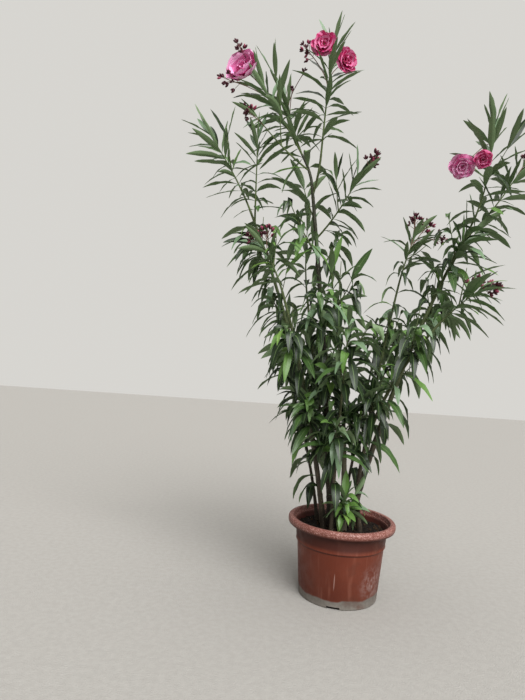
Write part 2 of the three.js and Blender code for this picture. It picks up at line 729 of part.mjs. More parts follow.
const bark = surface(BARK_COLOUR, 0.85);
const limbs = new Map();
const placed = [
  { name: "pot", solid: pot },
  { name: "soil", solid: soil },
];
for (const spec of LIMBS) {
  const limb = growLimb(spec, limbs);
  limbs.set(spec.name, limb);
  placed.push({ name: spec.name, solid: limb.sleeve });
  addPart(spec.name, limb.solid, bark);
}

const foliage = surface(LEAF_COLOUR, 0.55);
const masses = MASSES.map((spec, number) => growWood(spec, number, limbs, placed));
for (const { spec, pieces } of masses) {
  placed.push(...pieces.map((solid) => ({ name: spec.name, solid })));
}
for (const { spec, curve, pieces, courses } of masses) {
  for (const course of courses) {
    const leaf = leafSolid(course, LEAF_MARGIN);
    if (staysInSpace(course.curve.v2, curve, spec) && isClear(leaf, beyondRoot(course), spec.name, placed)) {
      pieces.push(leafSolid(course, 0));
      placed.push({ name: spec.name, solid: leaf });
    }
  }
  addPart(spec.name, largestBody(pieces.reduce((whole, piece) => whole.add(piece))), foliage);
}

export default plant;
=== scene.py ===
import math

import bmesh
import bpy
import numpy as np
from mathutils import Matrix, Vector, noise


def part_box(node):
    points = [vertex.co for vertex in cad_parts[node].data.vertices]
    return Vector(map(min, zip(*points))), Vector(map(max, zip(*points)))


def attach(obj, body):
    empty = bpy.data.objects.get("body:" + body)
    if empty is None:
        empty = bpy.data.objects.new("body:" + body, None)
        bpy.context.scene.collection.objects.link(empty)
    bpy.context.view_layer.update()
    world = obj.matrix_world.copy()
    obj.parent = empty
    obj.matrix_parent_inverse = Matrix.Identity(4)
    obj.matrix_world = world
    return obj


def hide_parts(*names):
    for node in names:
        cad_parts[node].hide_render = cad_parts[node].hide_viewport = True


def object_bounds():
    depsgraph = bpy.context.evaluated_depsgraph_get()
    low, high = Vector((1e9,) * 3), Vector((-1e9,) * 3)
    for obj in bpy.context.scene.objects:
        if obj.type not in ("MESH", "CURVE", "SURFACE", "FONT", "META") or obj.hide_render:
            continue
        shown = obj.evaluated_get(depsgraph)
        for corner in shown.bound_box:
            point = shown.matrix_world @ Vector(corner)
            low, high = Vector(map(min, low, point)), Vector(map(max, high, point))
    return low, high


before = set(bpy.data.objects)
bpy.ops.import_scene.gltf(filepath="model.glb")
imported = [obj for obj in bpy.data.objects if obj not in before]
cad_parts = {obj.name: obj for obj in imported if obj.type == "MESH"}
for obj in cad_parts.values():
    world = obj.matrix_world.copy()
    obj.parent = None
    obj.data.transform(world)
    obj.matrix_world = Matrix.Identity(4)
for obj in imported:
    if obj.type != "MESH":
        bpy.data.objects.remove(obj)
cad_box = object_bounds()


# The tub
# A nursery tub of injection-moulded polypropylene, terracotta brown all through. Its wall steps out
# into a stiffer upper band, the rim is rolled out and down, and four slots in the foot let the
# water leave. The foot is grey with lime up to where it stood in a saucer.
RIM_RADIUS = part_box("pot")[1].x
POT_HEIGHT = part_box("pot")[1].z
FOOT_SHARE = 0.73
FOOT_RADIUS = FOOT_SHARE * RIM_RADIUS
FOOT_EDGE = 0.005
WALL = 0.0045
BAND_TOP = 0.034
STEP_HEIGHT = 0.196
NECK_HEIGHT = 0.258
STEP_RADIUS = 0.163
NECK_RADIUS = 0.171
MOUTH_RADIUS = 0.180
MOUTH_EDGE = 0.0045
RIM_ROLL = 0.011
LIP_HOLLOW = 0.011
LIP_CORNER = 0.004
LIP_EDGE = 0.0018
POT_FLOOR = 0.014
POT_STEPS = 144
SLOTS = 4
SLOT_SIZE = (0.047, 0.018, 0.018)
SLOT_BEARING = math.radians(14)
# The upright share above which a direction counts as steep
STEEP = 0.9
# The marks of weather and use on the plastic, some with painted light, and where the smear and the scratch
# lie
RAIN_RUN = "#8C5443"
# Painted shade under the rim, over plastic it keeps from fading, and painted shade with dirt under the step
PAINTED_RIM_SHADE = "#3E150A"
LEDGE_SHADE = "#2E130C"
BLEACHED = "#7E4B41"
# Pale flecks on the rim: rubbed wear and a painted highlight
RUBBED_AND_HIGHLIGHT = "#DDB3AA"
LIME = ("#635D56", "#857F78")
SMEAR = "#A48C88"
SMEAR_PLACE, SMEAR_STRETCH = (0.105, -0.115, 0.085), (14, 14, 12)
SCRATCH = "#C9A69B"
SCRATCH_PLACE, SCRATCH_STRETCH = (-0.037, -0.146, 0.098), (420, 14, 26)


def linear(hex_code):
    """An sRGB hex colour as linear red, green, blue and full alpha."""
    shares = [int(hex_code[i : i + 2], 16) / 255 for i in (1, 3, 5)]
    return [s / 12.92 if s <= 0.04045 else ((s + 0.055) / 1.055) ** 2.4 for s in shares] + [1.0]


def add_node(tree, kind, inputs, **settings):
    """Adds a node with its settings, and gives each input a value or a link from an output."""
    node = tree.nodes.new(kind)
    for name, value in settings.items():
        setattr(node, name, value)
    for name, value in inputs.items():
        if isinstance(value, bpy.types.NodeSocket):
            tree.links.new(value, node.inputs[name])
        else:
            node.inputs[name].default_value = value
    return node


def new_material(name):
    """A material with an empty tree but for its output, and the tree."""
    material = bpy.data.materials.new(name)
    material.use_nodes = True
    tree = material.node_tree
    tree.nodes.clear()
    tree.nodes.new("ShaderNodeOutputMaterial")
    return material, tree


def finish_material(tree, inputs):
    """Ends a material's tree with its shader."""
    shader = add_node(tree, "ShaderNodeBsdfPrincipled", inputs)
    tree.links.new(shader.outputs[0], tree.nodes["Material Output"].inputs["Surface"])


def mixed(tree, share, first, second):
    """The colour between two others at a share."""
    blend = add_node(tree, "ShaderNodeMix", {0: share, 6: first, 7: second}, data_type="RGBA")
    return blend.outputs[2]


def between(tree, value, low, high, start=0.0, end=1.0):
    """A smooth share that goes from start to end as a value goes from low to high."""
    ramp = add_node(
        tree,
        "ShaderNodeMapRange",
        {"Value": value, "From Min": low, "From Max": high, "To Min": start, "To Max": end},
        interpolation_type="SMOOTHSTEP",
    )
    return ramp.outputs[0]


def place_of(tree, stretch=(1, 1, 1), centre=(0, 0, 0)):
    """The place on the piece in metres, moved to a centre and stretched."""
    source = add_node(tree, "ShaderNodeTexCoord", {})
    start = tuple(-c * s for c, s in zip(centre, stretch))
    return add_node(
        tree,
        "ShaderNodeMapping",
        {"Vector": source.outputs["Object"], "Location": start, "Scale": stretch},
    ).outputs[0]


def grain(tree, size, detail=3.0, stretch=(1, 1, 1)):
    """Noise whose patches measure about a size, in metres."""
    inputs = {"Vector": place_of(tree, stretch), "Scale": 1 / size, "Detail": detail}
    return add_node(tree, "ShaderNodeTexNoise", inputs).outputs[0]


def relief(tree, height, depth):
    """The surface's own direction, tilted by a height that stands for a depth in metres."""
    return add_node(tree, "ShaderNodeBump", {"Height": height, "Distance": depth}).outputs[0]


def faded_body(tree, body, faded):
    """The plastic's own colour, faded in patches and streaked where rain runs down."""
    patches = between(tree, grain(tree, 0.16), 0.35, 0.7)
    colour = mixed(tree, patches, linear(body), linear(faded))
    runs = between(tree, grain(tree, 0.02, 2.0, (1, 1, 0.08)), 0.52, 0.75, 0.0, 0.45)
    return mixed(tree, runs, colour, linear(RAIN_RUN))


def shaded_band(tree, colour, height):
    """The band under the rim, darkened as painted shade and less faded, and painted shade with dirt under
    its step.
    """
    # Painted shade: the band under the rim is darkened as if in the rim's shadow.
    painted_rim_shade = between(tree, height, STEP_HEIGHT + 0.004, STEP_HEIGHT + 0.02, 0.0, 0.85)
    colour = mixed(tree, painted_rim_shade, colour, linear(PAINTED_RIM_SHADE))
    # Painted shade, with some dirt, in the corner under the step's ledge.
    under_step = between(tree, height, STEP_HEIGHT - 0.007, STEP_HEIGHT - 0.001, 0.0, 0.75)
    above_step = between(tree, height, STEP_HEIGHT, STEP_HEIGHT + 0.001, 1.0, 0.0)
    ledge = add_node(tree, "ShaderNodeMath", {0: under_step, 1: above_step}, operation="MULTIPLY")
    return mixed(tree, ledge.outputs[0], colour, linear(LEDGE_SHADE))


def rim_wear_and_highlight(tree, colour, height):
    """The rim, bleached by the sun, with pale flecks that are partly rubbed wear and partly painted
    highlight.
    """
    rim = between(tree, height, NECK_HEIGHT + 0.001, NECK_HEIGHT + 0.012, 0.0, 0.75)
    colour = mixed(tree, rim, colour, linear(BLEACHED))
    # Pale flecks on the rim, partly rubbed wear and partly a painted highlight.
    worn = between(tree, grain(tree, 0.004, 5.0), 0.46, 0.66, 0.0, 0.6)
    flecks = add_node(tree, "ShaderNodeMath", {0: worn, 1: rim}, operation="MULTIPLY")
    return mixed(tree, flecks.outputs[0], colour, linear(RUBBED_AND_HIGHLIGHT))


def nearness(tree, centre, stretch):
    """A share that falls from 1 at a centre to 0 at the surface of a stretched ball about it."""
    place = place_of(tree, stretch, centre)
    return add_node(tree, "ShaderNodeTexGradient", {"Vector": place}, gradient_type="SPHERICAL").outputs[1]


def scuffed(tree, colour):
    """A pale chalky smear and one long scratch on the front."""
    chalk = between(tree, grain(tree, 0.012, 5.0, (1, 1, 0.8)), 0.4, 0.68, 0.0, 0.7)
    near_smear = nearness(tree, SMEAR_PLACE, SMEAR_STRETCH)
    smear = add_node(tree, "ShaderNodeMath", {0: near_smear, 1: chalk}, operation="MULTIPLY")
    colour = mixed(tree, smear.outputs[0], colour, linear(SMEAR))
    scratch = between(tree, nearness(tree, SCRATCH_PLACE, SCRATCH_STRETCH), 0.05, 0.5, 0.0, 0.4)
    return mixed(tree, scratch, colour, linear(SCRATCH))


def limed_foot(tree, colour, height):
    """Grey lime on the foot, up to a ragged line."""
    ragged = between(tree, grain(tree, 0.09, 3.0), 0.2, 0.8, -0.007, 0.007)
    edge = add_node(tree, "ShaderNodeMath", {0: height, 1: ragged}, operation="SUBTRACT").outputs[0]
    lime = between(tree, edge, BAND_TOP - 0.006, BAND_TOP + 0.001, 1.0, 0.0)
    lime_colour = mixed(tree, grain(tree, 0.01, 4.0), linear(LIME[0]), linear(LIME[1]))
    return mixed(tree, lime, colour, lime_colour)


def weathered_plastic(name, body, faded, grime_and_shade):
    """Moulded polypropylene: half matt, faded where rain and sun reach it, with lime, scuffs, and painted
    shade and highlight.
    """
    material, tree = new_material(name)
    height = add_node(tree, "ShaderNodeSeparateXYZ", {"Vector": place_of(tree)}).outputs["Z"]
    colour = shaded_band(tree, faded_body(tree, body, faded), height)
    colour = scuffed(tree, rim_wear_and_highlight(tree, colour, height))
    colour = limed_foot(tree, colour, height)
    # Dark grime in patches; on the tub's inside it also stands as painted shade.
    dirt_and_shade = between(tree, grain(tree, 0.05, 5.0), 0.5, 0.8, 0.0, 0.6)
    finish_material(
        tree,
        {
            "Base Color": mixed(tree, dirt_and_shade, colour, linear(grime_and_shade)),
            "Roughness": between(tree, grain(tree, 0.03), 0.3, 0.7, 0.42, 0.62),
            "Normal": relief(tree, grain(tree, 0.0022, 2.0), 0.0004),
            "Specular IOR Level": 0.35,
        },
    )
    return material


def rough_matter(name, dark, light, size):
    """Loose, damp, matt stuff, such as peat or bark, in grains of a size."""
    material, tree = new_material(name)
    shades = between(tree, grain(tree, size, 6.0), 0.3, 0.7)
    finish_material(
        tree,
        {
            "Base Color": mixed(tree, shades, linear(dark), linear(light)),
            "Roughness": 0.95,
            "Specular IOR Level": 0.2,
            "Normal": relief(tree, grain(tree, size / 4, 5.0), 0.002),
        },
    )
    return material


def arc(centre, radius, start, end, steps):
    """Points of a profile on an arc, from one angle to another in degrees."""
    angles = np.radians(np.linspace(start, end, steps + 1))
    return [(centre[0] + radius * math.cos(a), centre[1] + radius * math.sin(a)) for a in angles]


def turned(profile, steps):
    """A closed solid turned round Z from a profile of (radius, height) that ends on the axis."""
    shape = bmesh.new()
    points = [shape.verts.new((radius, 0, height)) for radius, height in profile]
    edges = [shape.edges.new(pair) for pair in zip(points, points[1:])]
    bmesh.ops.spin(
        shape,
        geom=points + edges,
        axis=(0, 0, 1),
        cent=(0, 0, 0),
        angle=math.tau,
        steps=steps,
        use_merge=True,
    )
    bmesh.ops.remove_doubles(shape, verts=shape.verts, dist=1e-5)
    bmesh.ops.recalc_face_normals(shape, faces=shape.faces)
    return shape


def mesh_from(name, shape):
    """The mesh of a bmesh, which is freed."""
    mesh = bpy.data.meshes.new(name)
    shape.to_mesh(mesh)
    shape.free()
    return mesh


def piece_of(name, mesh, materials, sharp=40):
    """A shown piece from a mesh, smooth but for edges sharper than an angle in degrees."""
    for material in materials:
        mesh.materials.append(material)
    mesh.shade_smooth()
    mesh.set_sharp_from_angle(angle=math.radians(sharp))
    piece = bpy.data.objects.new(name, mesh)
    bpy.context.scene.collection.objects.link(piece)
    return piece


def pot_profile():
    """The tub's section: up its outer wall, over the lip with the hollow under it, and down inside."""
    foot = arc((FOOT_RADIUS - FOOT_EDGE, FOOT_EDGE), FOOT_EDGE, -90, 0, 4)
    wall = [
        (FOOT_RADIUS + 0.0012, BAND_TOP),
        (FOOT_RADIUS + 0.0022, BAND_TOP + 0.0012),
        (STEP_RADIUS - 0.0012, STEP_HEIGHT - 0.0008),
        (STEP_RADIUS + 0.0022, STEP_HEIGHT + 0.0002),
        (STEP_RADIUS + 0.0034, STEP_HEIGHT + 0.0020),
        (STEP_RADIUS + 0.0036, STEP_HEIGHT + 0.0044),
        (STEP_RADIUS + 0.0024, STEP_HEIGHT + 0.0066),
        (NECK_RADIUS, NECK_HEIGHT),
    ]
    hollow_top = NECK_HEIGHT + LIP_HOLLOW
    hollow = arc((NECK_RADIUS + LIP_CORNER, hollow_top - LIP_CORNER), LIP_CORNER, 180, 90, 3)
    hollow += arc((RIM_RADIUS - 0.010, hollow_top - LIP_CORNER), LIP_CORNER, 90, 0, 3)
    lip = arc((RIM_RADIUS - 0.0042, NECK_HEIGHT + LIP_EDGE), LIP_EDGE, -180, -30, 5)
    outer = [(RIM_RADIUS - 0.0006, NECK_HEIGHT + 0.006), (RIM_RADIUS, NECK_HEIGHT + 0.012)]
    roll = arc((RIM_RADIUS - RIM_ROLL, POT_HEIGHT - RIM_ROLL), RIM_ROLL, 0, 90, 6)
    mouth = arc((MOUTH_RADIUS + LIP_CORNER, POT_HEIGHT - MOUTH_EDGE), MOUTH_EDGE, 90, 190, 5)
    inside = [
        (NECK_RADIUS - WALL, NECK_HEIGHT),
        (STEP_RADIUS - WALL, STEP_HEIGHT),
        (FOOT_RADIUS - WALL, POT_FLOOR),
    ]
    return [(0, 0)] + foot + wall + hollow + lip + outer + roll + mouth + inside + [(0, POT_FLOOR)]


def cut_slots(pot):
    """Cuts the drain slots into the tub's foot."""
    shape = bmesh.new()
    for i in range(SLOTS):
        turn = Matrix.Rotation(math.tau * i / SLOTS - SLOT_BEARING, 4, "Z")
        place = turn @ Matrix.Translation((0, -FOOT_RADIUS, 0)) @ Matrix.Diagonal((*SLOT_SIZE, 1))
        bmesh.ops.create_cube(shape, size=1, matrix=place)
    cutter = bpy.data.objects.new("slot_cutter", mesh_from("slot_cutter", shape))
    bpy.context.scene.collection.objects.link(cutter)
    cut = pot.modifiers.new("slots", "BOOLEAN")
    cut.object = cutter
    cut.operation = "DIFFERENCE"
    bpy.context.view_layer.update()
    whole = pot.evaluated_get(bpy.context.evaluated_depsgraph_get())
    pot.data = bpy.data.meshes.new_from_object(whole)
    pot.modifiers.clear()
    bpy.data.objects.remove(cutter)
    # The faces inside the slots take the near-black: painted shade of the hollow under the tub, with wet
    # dirt.
    for face in pot.data.polygons:
        low_inside = face.center.z < SLOT_SIZE[2] / 2 + 1e-4 and abs(face.normal.z) < STEEP
        across = math.hypot(face.center.x, face.center.y)
        if low_inside and across < FOOT_RADIUS - SLOT_SIZE[1] / 2 + 1e-3:
            face.material_index = 2


pot_shape = turned(pot_profile(), POT_STEPS)
for face in pot_shape.faces:
    middle = face.calc_center_median()
    looks_in = face.normal.x * middle.x + face.normal.y * middle.y < -1e-6
    face.material_index = int(looks_in and math.hypot(middle.x, middle.y) < MOUTH_RADIUS)
pot = piece_of(
    "pot_tub",
    mesh_from("pot_tub", pot_shape),
    [
        weathered_plastic("polypropylene, moulded, weathered outside", "#612816", "#6C3220", "#552B1E"),
        # The inside is darker partly for stains and partly as painted shade within the tub.
        weathered_plastic("polypropylene, moulded, stained and painted shade inside", "#5A2C26", "#6B3830", "#2E1A17"),
        # Near-black in the drain slots: wet dirt, and painted shade of the hollow beneath the tub.
        rough_matter("polypropylene, moulded, wet and dark in the drain slots", "#0D0A09", "#1C1512", 0.004),
    ],
)
cut_slots(pot)
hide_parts("pot")
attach(pot, "root")


# The soil
# Peaty potting soil, near black where it is damp, settled to three centimetres below the rim. Its
# crumbs, chips of bark and a few grains of perlite lie loose on top.
SOIL_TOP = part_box("soil")[1].z
SOIL_RADIUS = 0.1632
SOIL_WAIST = 0.157
SOIL_CLEARANCE = 0.001
SOIL_RINGS = 26
SOIL_STEPS = 96
HEAP_RISE, HEAP_FINENESS = 0.0035, 18
LUMP_RISE, LUMP_FINENESS = 0.0022, 110
SOIL_SINK, SOIL_EDGE_DROP = 0.002, 0.004
CRUMB_REACH = 0.985
CRUMB_STRETCH = (0.5, 1.25)
CRUMB_JITTER = 0.25
CRUMB_PROUD = 0.2
CRUMB_KINDS = (
    ("damp peat crumb", "#1C1611", 620, 0.0016, 0.0052),
    ("composted bark chip", "#3A2A1C", 150, 0.0020, 0.0062),
    ("perlite grain", "#A39C90", 26, 0.0009, 0.0021),
)


def joined_mesh(name, template, places, face_materials=None):
    """One mesh of copies of a template, from each copy's vertices and each copy's face materials."""
    copies, points = places.shape[:2]
    corners = np.array([corner for face in template.polygons for corner in face.vertices])
    sizes = np.array([len(face.vertices) for face in template.polygons])
    every_corner = (corners[None, :] + points * np.arange(copies)[:, None]).ravel()
    every_size = np.tile(sizes, copies)
    mesh = bpy.data.meshes.new(name)
    mesh.vertices.add(copies * points)
    mesh.vertices.foreach_set("co", places.astype(np.float32).ravel())
    mesh.loops.add(len(every_corner))
    mesh.loops.foreach_set("vertex_index", every_corner.astype(np.int32))
    mesh.polygons.add(len(every_size))
    starts = np.concatenate([[0], np.cumsum(every_size)[:-1]])
    mesh.polygons.foreach_set("loop_start", starts.astype(np.int32))
    if face_materials is not None:
        mesh.polygons.foreach_set("material_index", np.asarray(face_materials, np.int32).ravel())
    mesh.update(calc_edges=True)
    mesh.validate()
    return mesh


def vertices_of(mesh):
    """A mesh's vertices as rows of an array."""
    flat = np.empty(3 * len(mesh.vertices), np.float32)
    mesh.vertices.foreach_get("co", flat)
    return flat.reshape(-1, 3)


def soil_lift(x, y):
    """How far the soil stands above its level at a place: soft heaps, lumps and a sunk edge."""
    heaps = HEAP_RISE * noise.noise(Vector((x * HEAP_FINENESS, y * HEAP_FINENESS, 0.3)))
    lumps = LUMP_RISE * noise.noise(Vector((x * LUMP_FINENESS, y * LUMP_FINENESS, 4.1)))
    share = math.hypot(x, y) / SOIL_RADIUS
    return heaps + lumps - SOIL_SINK - SOIL_EDGE_DROP * share**6


def crumb_place(template, smallest, largest, random):
    """The vertices of one crumb: squashed, turned, roughened and half sunk in the soil."""
    angle = random.uniform(0, math.tau)
    reach = SOIL_RADIUS * CRUMB_REACH * math.sqrt(random.uniform())
    size = random.uniform(smallest, largest)
    stretch = random.uniform(*CRUMB_STRETCH, 3) * size
    turn = np.array(Matrix.Rotation(random.uniform(0, math.tau), 3, random.normal(size=3)))
    jitter = 1 + random.uniform(-CRUMB_JITTER, CRUMB_JITTER, (len(template.vertices), 1))
    x, y = reach * math.cos(angle), reach * math.sin(angle)
    centre = (x, y, SOIL_TOP + soil_lift(x, y) + CRUMB_PROUD * size)
    return (vertices_of(template) * jitter * stretch) @ turn.T + centre


soil_floor = POT_FLOOR + SOIL_CLEARANCE
soil_foot = FOOT_RADIUS - WALL - 2 * SOIL_CLEARANCE
soil_profile = [(0, soil_floor), (soil_foot, soil_floor), (SOIL_WAIST, STEP_HEIGHT)]
soil_profile += [(radius, SOIL_TOP) for radius in reversed(np.linspace(0, SOIL_RADIUS, SOIL_RINGS))]
soil_shape = turned(soil_profile, SOIL_STEPS)
for vertex in soil_shape.verts:
    if vertex.co.z > SOIL_TOP - 1e-4:
        vertex.co.z += soil_lift(vertex.co.x, vertex.co.y)
damp_peat = rough_matter("peat, damp and crumbled", "#0E0B09", "#1F1813", 0.006)
soil = piece_of("soil_bed", mesh_from("soil_bed", soil_shape), [damp_peat])
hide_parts("soil")
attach(soil, "root")

crumb_shape = bmesh.new()
bmesh.ops.create_icosphere(crumb_shape, subdivisions=1, radius=1)
crumb = mesh_from("crumb", crumb_shape)
random = np.random.default_rng(11)
crumb_places, crumb_slots = [], []
for slot, (_, _, count, smallest, largest) in enumerate(CRUMB_KINDS):
    for _ in range(count):
        crumb_places.append(crumb_place(crumb, smallest, largest, random))
        crumb_slots.append([slot] * len(crumb.polygons))
crumbs = piece_of(
    "soil_crumbs",
    joined_mesh("soil_crumbs", crumb, np.array(crumb_places), crumb_slots),
    [rough_matter(kind, shade, shade, 0.004) for kind, shade, *_ in CRUMB_KINDS],
)
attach(crumbs, "root")


# The canes
# Oleander canes: smooth thin bark with raised rings where whorls of leaves have dropped, and small
# pale pores. Old wood at the foot is brown or ash grey, and turns olive green towards the tips.
GAP = 0.0003
GROWTH_PULL = 0.4
FLARE_SHARE = 0.45
FLARE_HEIGHT = 0.045
CANE_SIDES = 16
CANE_STEP = 0.007
FEWEST_CANE_STEPS = 8
RING_SPACING = 0.052
RING_WIDTH = 0.0035
RING_RISE = 0.09
BARK_LUMP_RISE, BARK_LUMP_FINENESS = 0.035, 90
FOOT_DEPTH = 0.008
ROD_END = 1e-6
PORE_SHADE = "#9C927A"
# Each limb's foot on the soil or the limb that it grows on, its tip, its bow and its girth, in mm
LIMBS = {
    "stem_main": dict(foot=(-38, 0), tip=(-194, 0, 1540), bow=(10, 8), girth=(29, 12)),
    "bough_main_left": dict(on="stem_main", tip=(-238, 15, 1660), bow=(3, 2), girth=(11.5, 9.5)),
    "bough_main_right": dict(on="stem_main", at=0.97, tip=(-168, -16, 1655), bow=(4, -3), girth=(9, 8.5)),
    "stem_left": dict(foot=(-66, 24), tip=(-427, 50, 1442), bow=(44, 0), girth=(20, 9)),
    "stem_left_inner": dict(foot=(-72, -34), tip=(-285, -120, 1109), bow=(22, 0), girth=(16, 9)),
    "stem_left_back": dict(foot=(-84, 70), tip=(-215, 150, 760), bow=(15, 10), girth=(13, 8)),
    "stem_back": dict(foot=(-28, 58), tip=(-176, 120, 1132), bow=(0, 18), girth=(15, 9)),
    "stem_thin": dict(foot=(-2, -38), tip=(-62, -70, 916), bow=(12, -8), girth=(24, 8)),
    "stem_right": dict(foot=(31, 4), tip=(437, 40, 1427), bow=(-38, 0), girth=(24, 9)),
    "stem_right_front": dict(foot=(62, -44), tip=(285, -140, 1034), bow=(-100, 0), girth=(16, 9)),
    "stem_right_back": dict(foot=(52, 52), tip=(190, 110, 1200), bow=(-10, 10), girth=(15, 8)),
    "stem_front": dict(foot=(-50, -86), tip=(-60, -205, 760), bow=(0, 20), girth=(13, 8)),
    "stem_back_right": dict(foot=(10, 98), tip=(105, 165, 800), bow=(0, -10), girth=(13, 8)),
}
MM = 0.001
UP = np.array([0.0, 0.0, 1.0])
# The places at which a course is measured, and the bend below which it counts as straight
COURSE_STEPS = 201
STRAIGHT = 1e-9


def unit(vector):
    """Vectors of length one, along the last axis."""
    return vector / np.maximum(np.linalg.norm(vector, axis=-1, keepdims=True), 1e-12)


class Course:
    """A curved line from a start towards a control point and on to an end, by share of its length."""

    def __init__(self, start, control, end):
        self.points = np.array([start, control, end], float)
        places = self.at_parameter(np.linspace(0, 1, COURSE_STEPS))
        steps = np.linalg.norm(np.diff(places, axis=0), axis=1)
        self.lengths = np.concatenate([[0], np.cumsum(steps)])
        self.length = self.lengths[-1]

    def at_parameter(self, t):
        start, control, end = self.points
        t = np.asarray(t, float)[..., None]
        return (1 - t) ** 2 * start + 2 * t * (1 - t) * control + t**2 * end

    def parameter(self, share):
        parameters = np.linspace(0, 1, COURSE_STEPS)
        return np.interp(np.asarray(share) * self.length, self.lengths, parameters)

    def place(self, share):
        return self.at_parameter(self.parameter(share))

    def heading(self, share):
        start, control, end = self.points
        t = self.parameter(share)[..., None]
        return unit((1 - t) * (control - start) + t * (end - control))


def sweep(start, direction, tip, pull):
    """A course that leaves start in a direction and ends at tip."""
    return Course(start, start + direction * np.linalg.norm(tip - start) * pull, tip)


def limb_course(spec, courses):
    """The course of a limb: from the soil, on from its parent's tip, or out of its parent's side."""
    tip = np.array(spec["tip"]) * MM
    parent = courses.get(spec.get("on"))
    if parent is None:
        start = np.array([spec["foot"][0] * MM, spec["foot"][1] * MM, SOIL_TOP + GAP])
    elif "at" not in spec:
        heading = parent.heading(1.0)
        return sweep(parent.place(1.0) + heading * GAP, heading, tip, GROWTH_PULL)
    else:
        start = parent.place(spec["at"])
    bow = np.array([*spec["bow"], 0]) * MM
    return Course(start, (start + tip) / 2 + 2 * bow, tip)


def limb_radius(spec, course, share):
    """The limb's radius at a share of its length, with the flare at its foot."""
    foot_girth, tip_girth = (girth * MM for girth in spec["girth"])
    flare = FLARE_SHARE * np.exp(-share * course.length / FLARE_HEIGHT) if "foot" in spec else 0
    return (foot_girth + (tip_girth - foot_girth) * share) * 0.5 * (1 + flare)


def frames_along(course, shares):
    """Two directions across a course at each share, which don't twist along it."""
    headings = course.heading(shares)
    start, control, end = course.points
    across = np.cross(control - start, end - control)
    if np.linalg.norm(across) < STRAIGHT:
        across = np.cross(headings[0], (1, 0, 0) if abs(headings[0][2]) > STEEP else UP)
    across = unit(across)
    return np.broadcast_to(across, headings.shape), unit(np.cross(headings, across))


def rod_template(name, sides, steps):
    """A rod of radius 1 round Z from 0 to 1, closed at both ends, in steps along its length."""
    shape = bmesh.new()
    middle = Matrix.Translation((0, 0, 0.5))
    bmesh.ops.create_cone(
        shape, cap_ends=True, segments=sides, radius1=1, radius2=1, depth=1, matrix=middle
    )
    upright = [e for e in shape.edges if abs(e.verts[0].co.z - e.verts[1].co.z) > 0.5]
    bmesh.ops.subdivide_edges(shape, edges=upright, cuts=steps - 1, use_grid_fill=True)
    return mesh_from(name, shape)


def bent_rod(template, course, radius_at):
    """The template's vertices laid along a course."""
    rod = vertices_of(template).astype(float)
    shares = rod[:, 2]
    across, over = frames_along(course, shares)
    radii = radius_at(shares)[:, None]
    return course.place(shares) + across * rod[:, :1] * radii + over * rod[:, 1:2] * radii


def bark(name, old, worn, young, low, high):
    """Thin smooth bark: old wood below a height turns to young green bark above another."""
    material, tree = new_material(name)
    height = add_node(tree, "ShaderNodeSeparateXYZ", {"Vector": place_of(tree)}).outputs["Z"]
    patches = between(tree, grain(tree, 0.02, 4.0, (1, 1, 0.3)), 0.35, 0.65)
    colour = mixed(tree, patches, linear(old), linear(worn))
    colour = mixed(tree, between(tree, height, low, high), colour, linear(young))
    pore_place = place_of(tree, (1, 1, 0.55))
    pores = add_node(tree, "ShaderNodeTexVoronoi", {"Vector": pore_place, "Scale": 210.0})
    pore_share = between(tree, pores.outputs["Distance"], 0.12, 0.24, 0.55, 0.0)
    colour = mixed(tree, pore_share, colour, linear(PORE_SHADE))
    streaks = grain(tree, 0.004, 3.0, (1, 1, 0.12))
    finish_material(
        tree,
        {
            "Base Color": colour,
            "Roughness": between(tree, streaks, 0.3, 0.7, 0.55, 0.8),
            "Normal": relief(tree, streaks, 0.0012),
        },
    )
    return material


def cane_places(template, spec, course):
    """A cane's vertices: its taper, the raised rings, small lumps and a foot set into the soil."""
    along = vertices_of(template)[:, 2]
    places = bent_rod(template, course, lambda share: limb_radius(spec, course, share))
    phase = np.abs((along * course.length / RING_SPACING + 0.5) % 1 - 0.5) * RING_SPACING
    rings = RING_RISE * np.exp(-((phase / RING_WIDTH) ** 2))
    lumps = np.array([noise.noise(Vector(place) * BARK_LUMP_FINENESS) for place in places])
    swell = (1 + rings + BARK_LUMP_RISE * lumps)[:, None]
    axis = course.place(along)
    between_ends = ((along > ROD_END) & (along < 1 - ROD_END))[:, None]
    places = np.where(between_ends, axis + (places - axis) * swell, places)
    if "foot" in spec:
        places[along < ROD_END, 2] = SOIL_TOP - FOOT_DEPTH
    return places


dark_bark = bark("oleander bark, old and dark", "#211A12", "#332B20", "#2B301C", 0.8, 1.8)
ash_bark = bark("oleander bark, ash grey", "#4A4536", "#645E4D", "#48542B", 0.5, 1.0)
brown_bark = bark("oleander bark, brown", "#2B2318", "#443B2C", "#465229", 0.45, 1.0)
bark_of = {
    "stem_main": dark_bark,
    "bough_main_left": dark_bark,
    "stem_thin": ash_bark,
    "stem_left": ash_bark,
}
limb_courses = {}
for name, spec in LIMBS.items():
    course = limb_course(spec, limb_courses)
    limb_courses[name] = course
    steps = max(FEWEST_CANE_STEPS, round(course.length / CANE_STEP))
    template = rod_template("cane", CANE_SIDES, steps)
    mesh = joined_mesh("cane_" + name, template, cane_places(template, spec, course)[None])
    cane = piece_of("cane_" + name, mesh, [bark_of.get(name, brown_bark)], 60)
    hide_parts(name)
    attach(cane, "root")


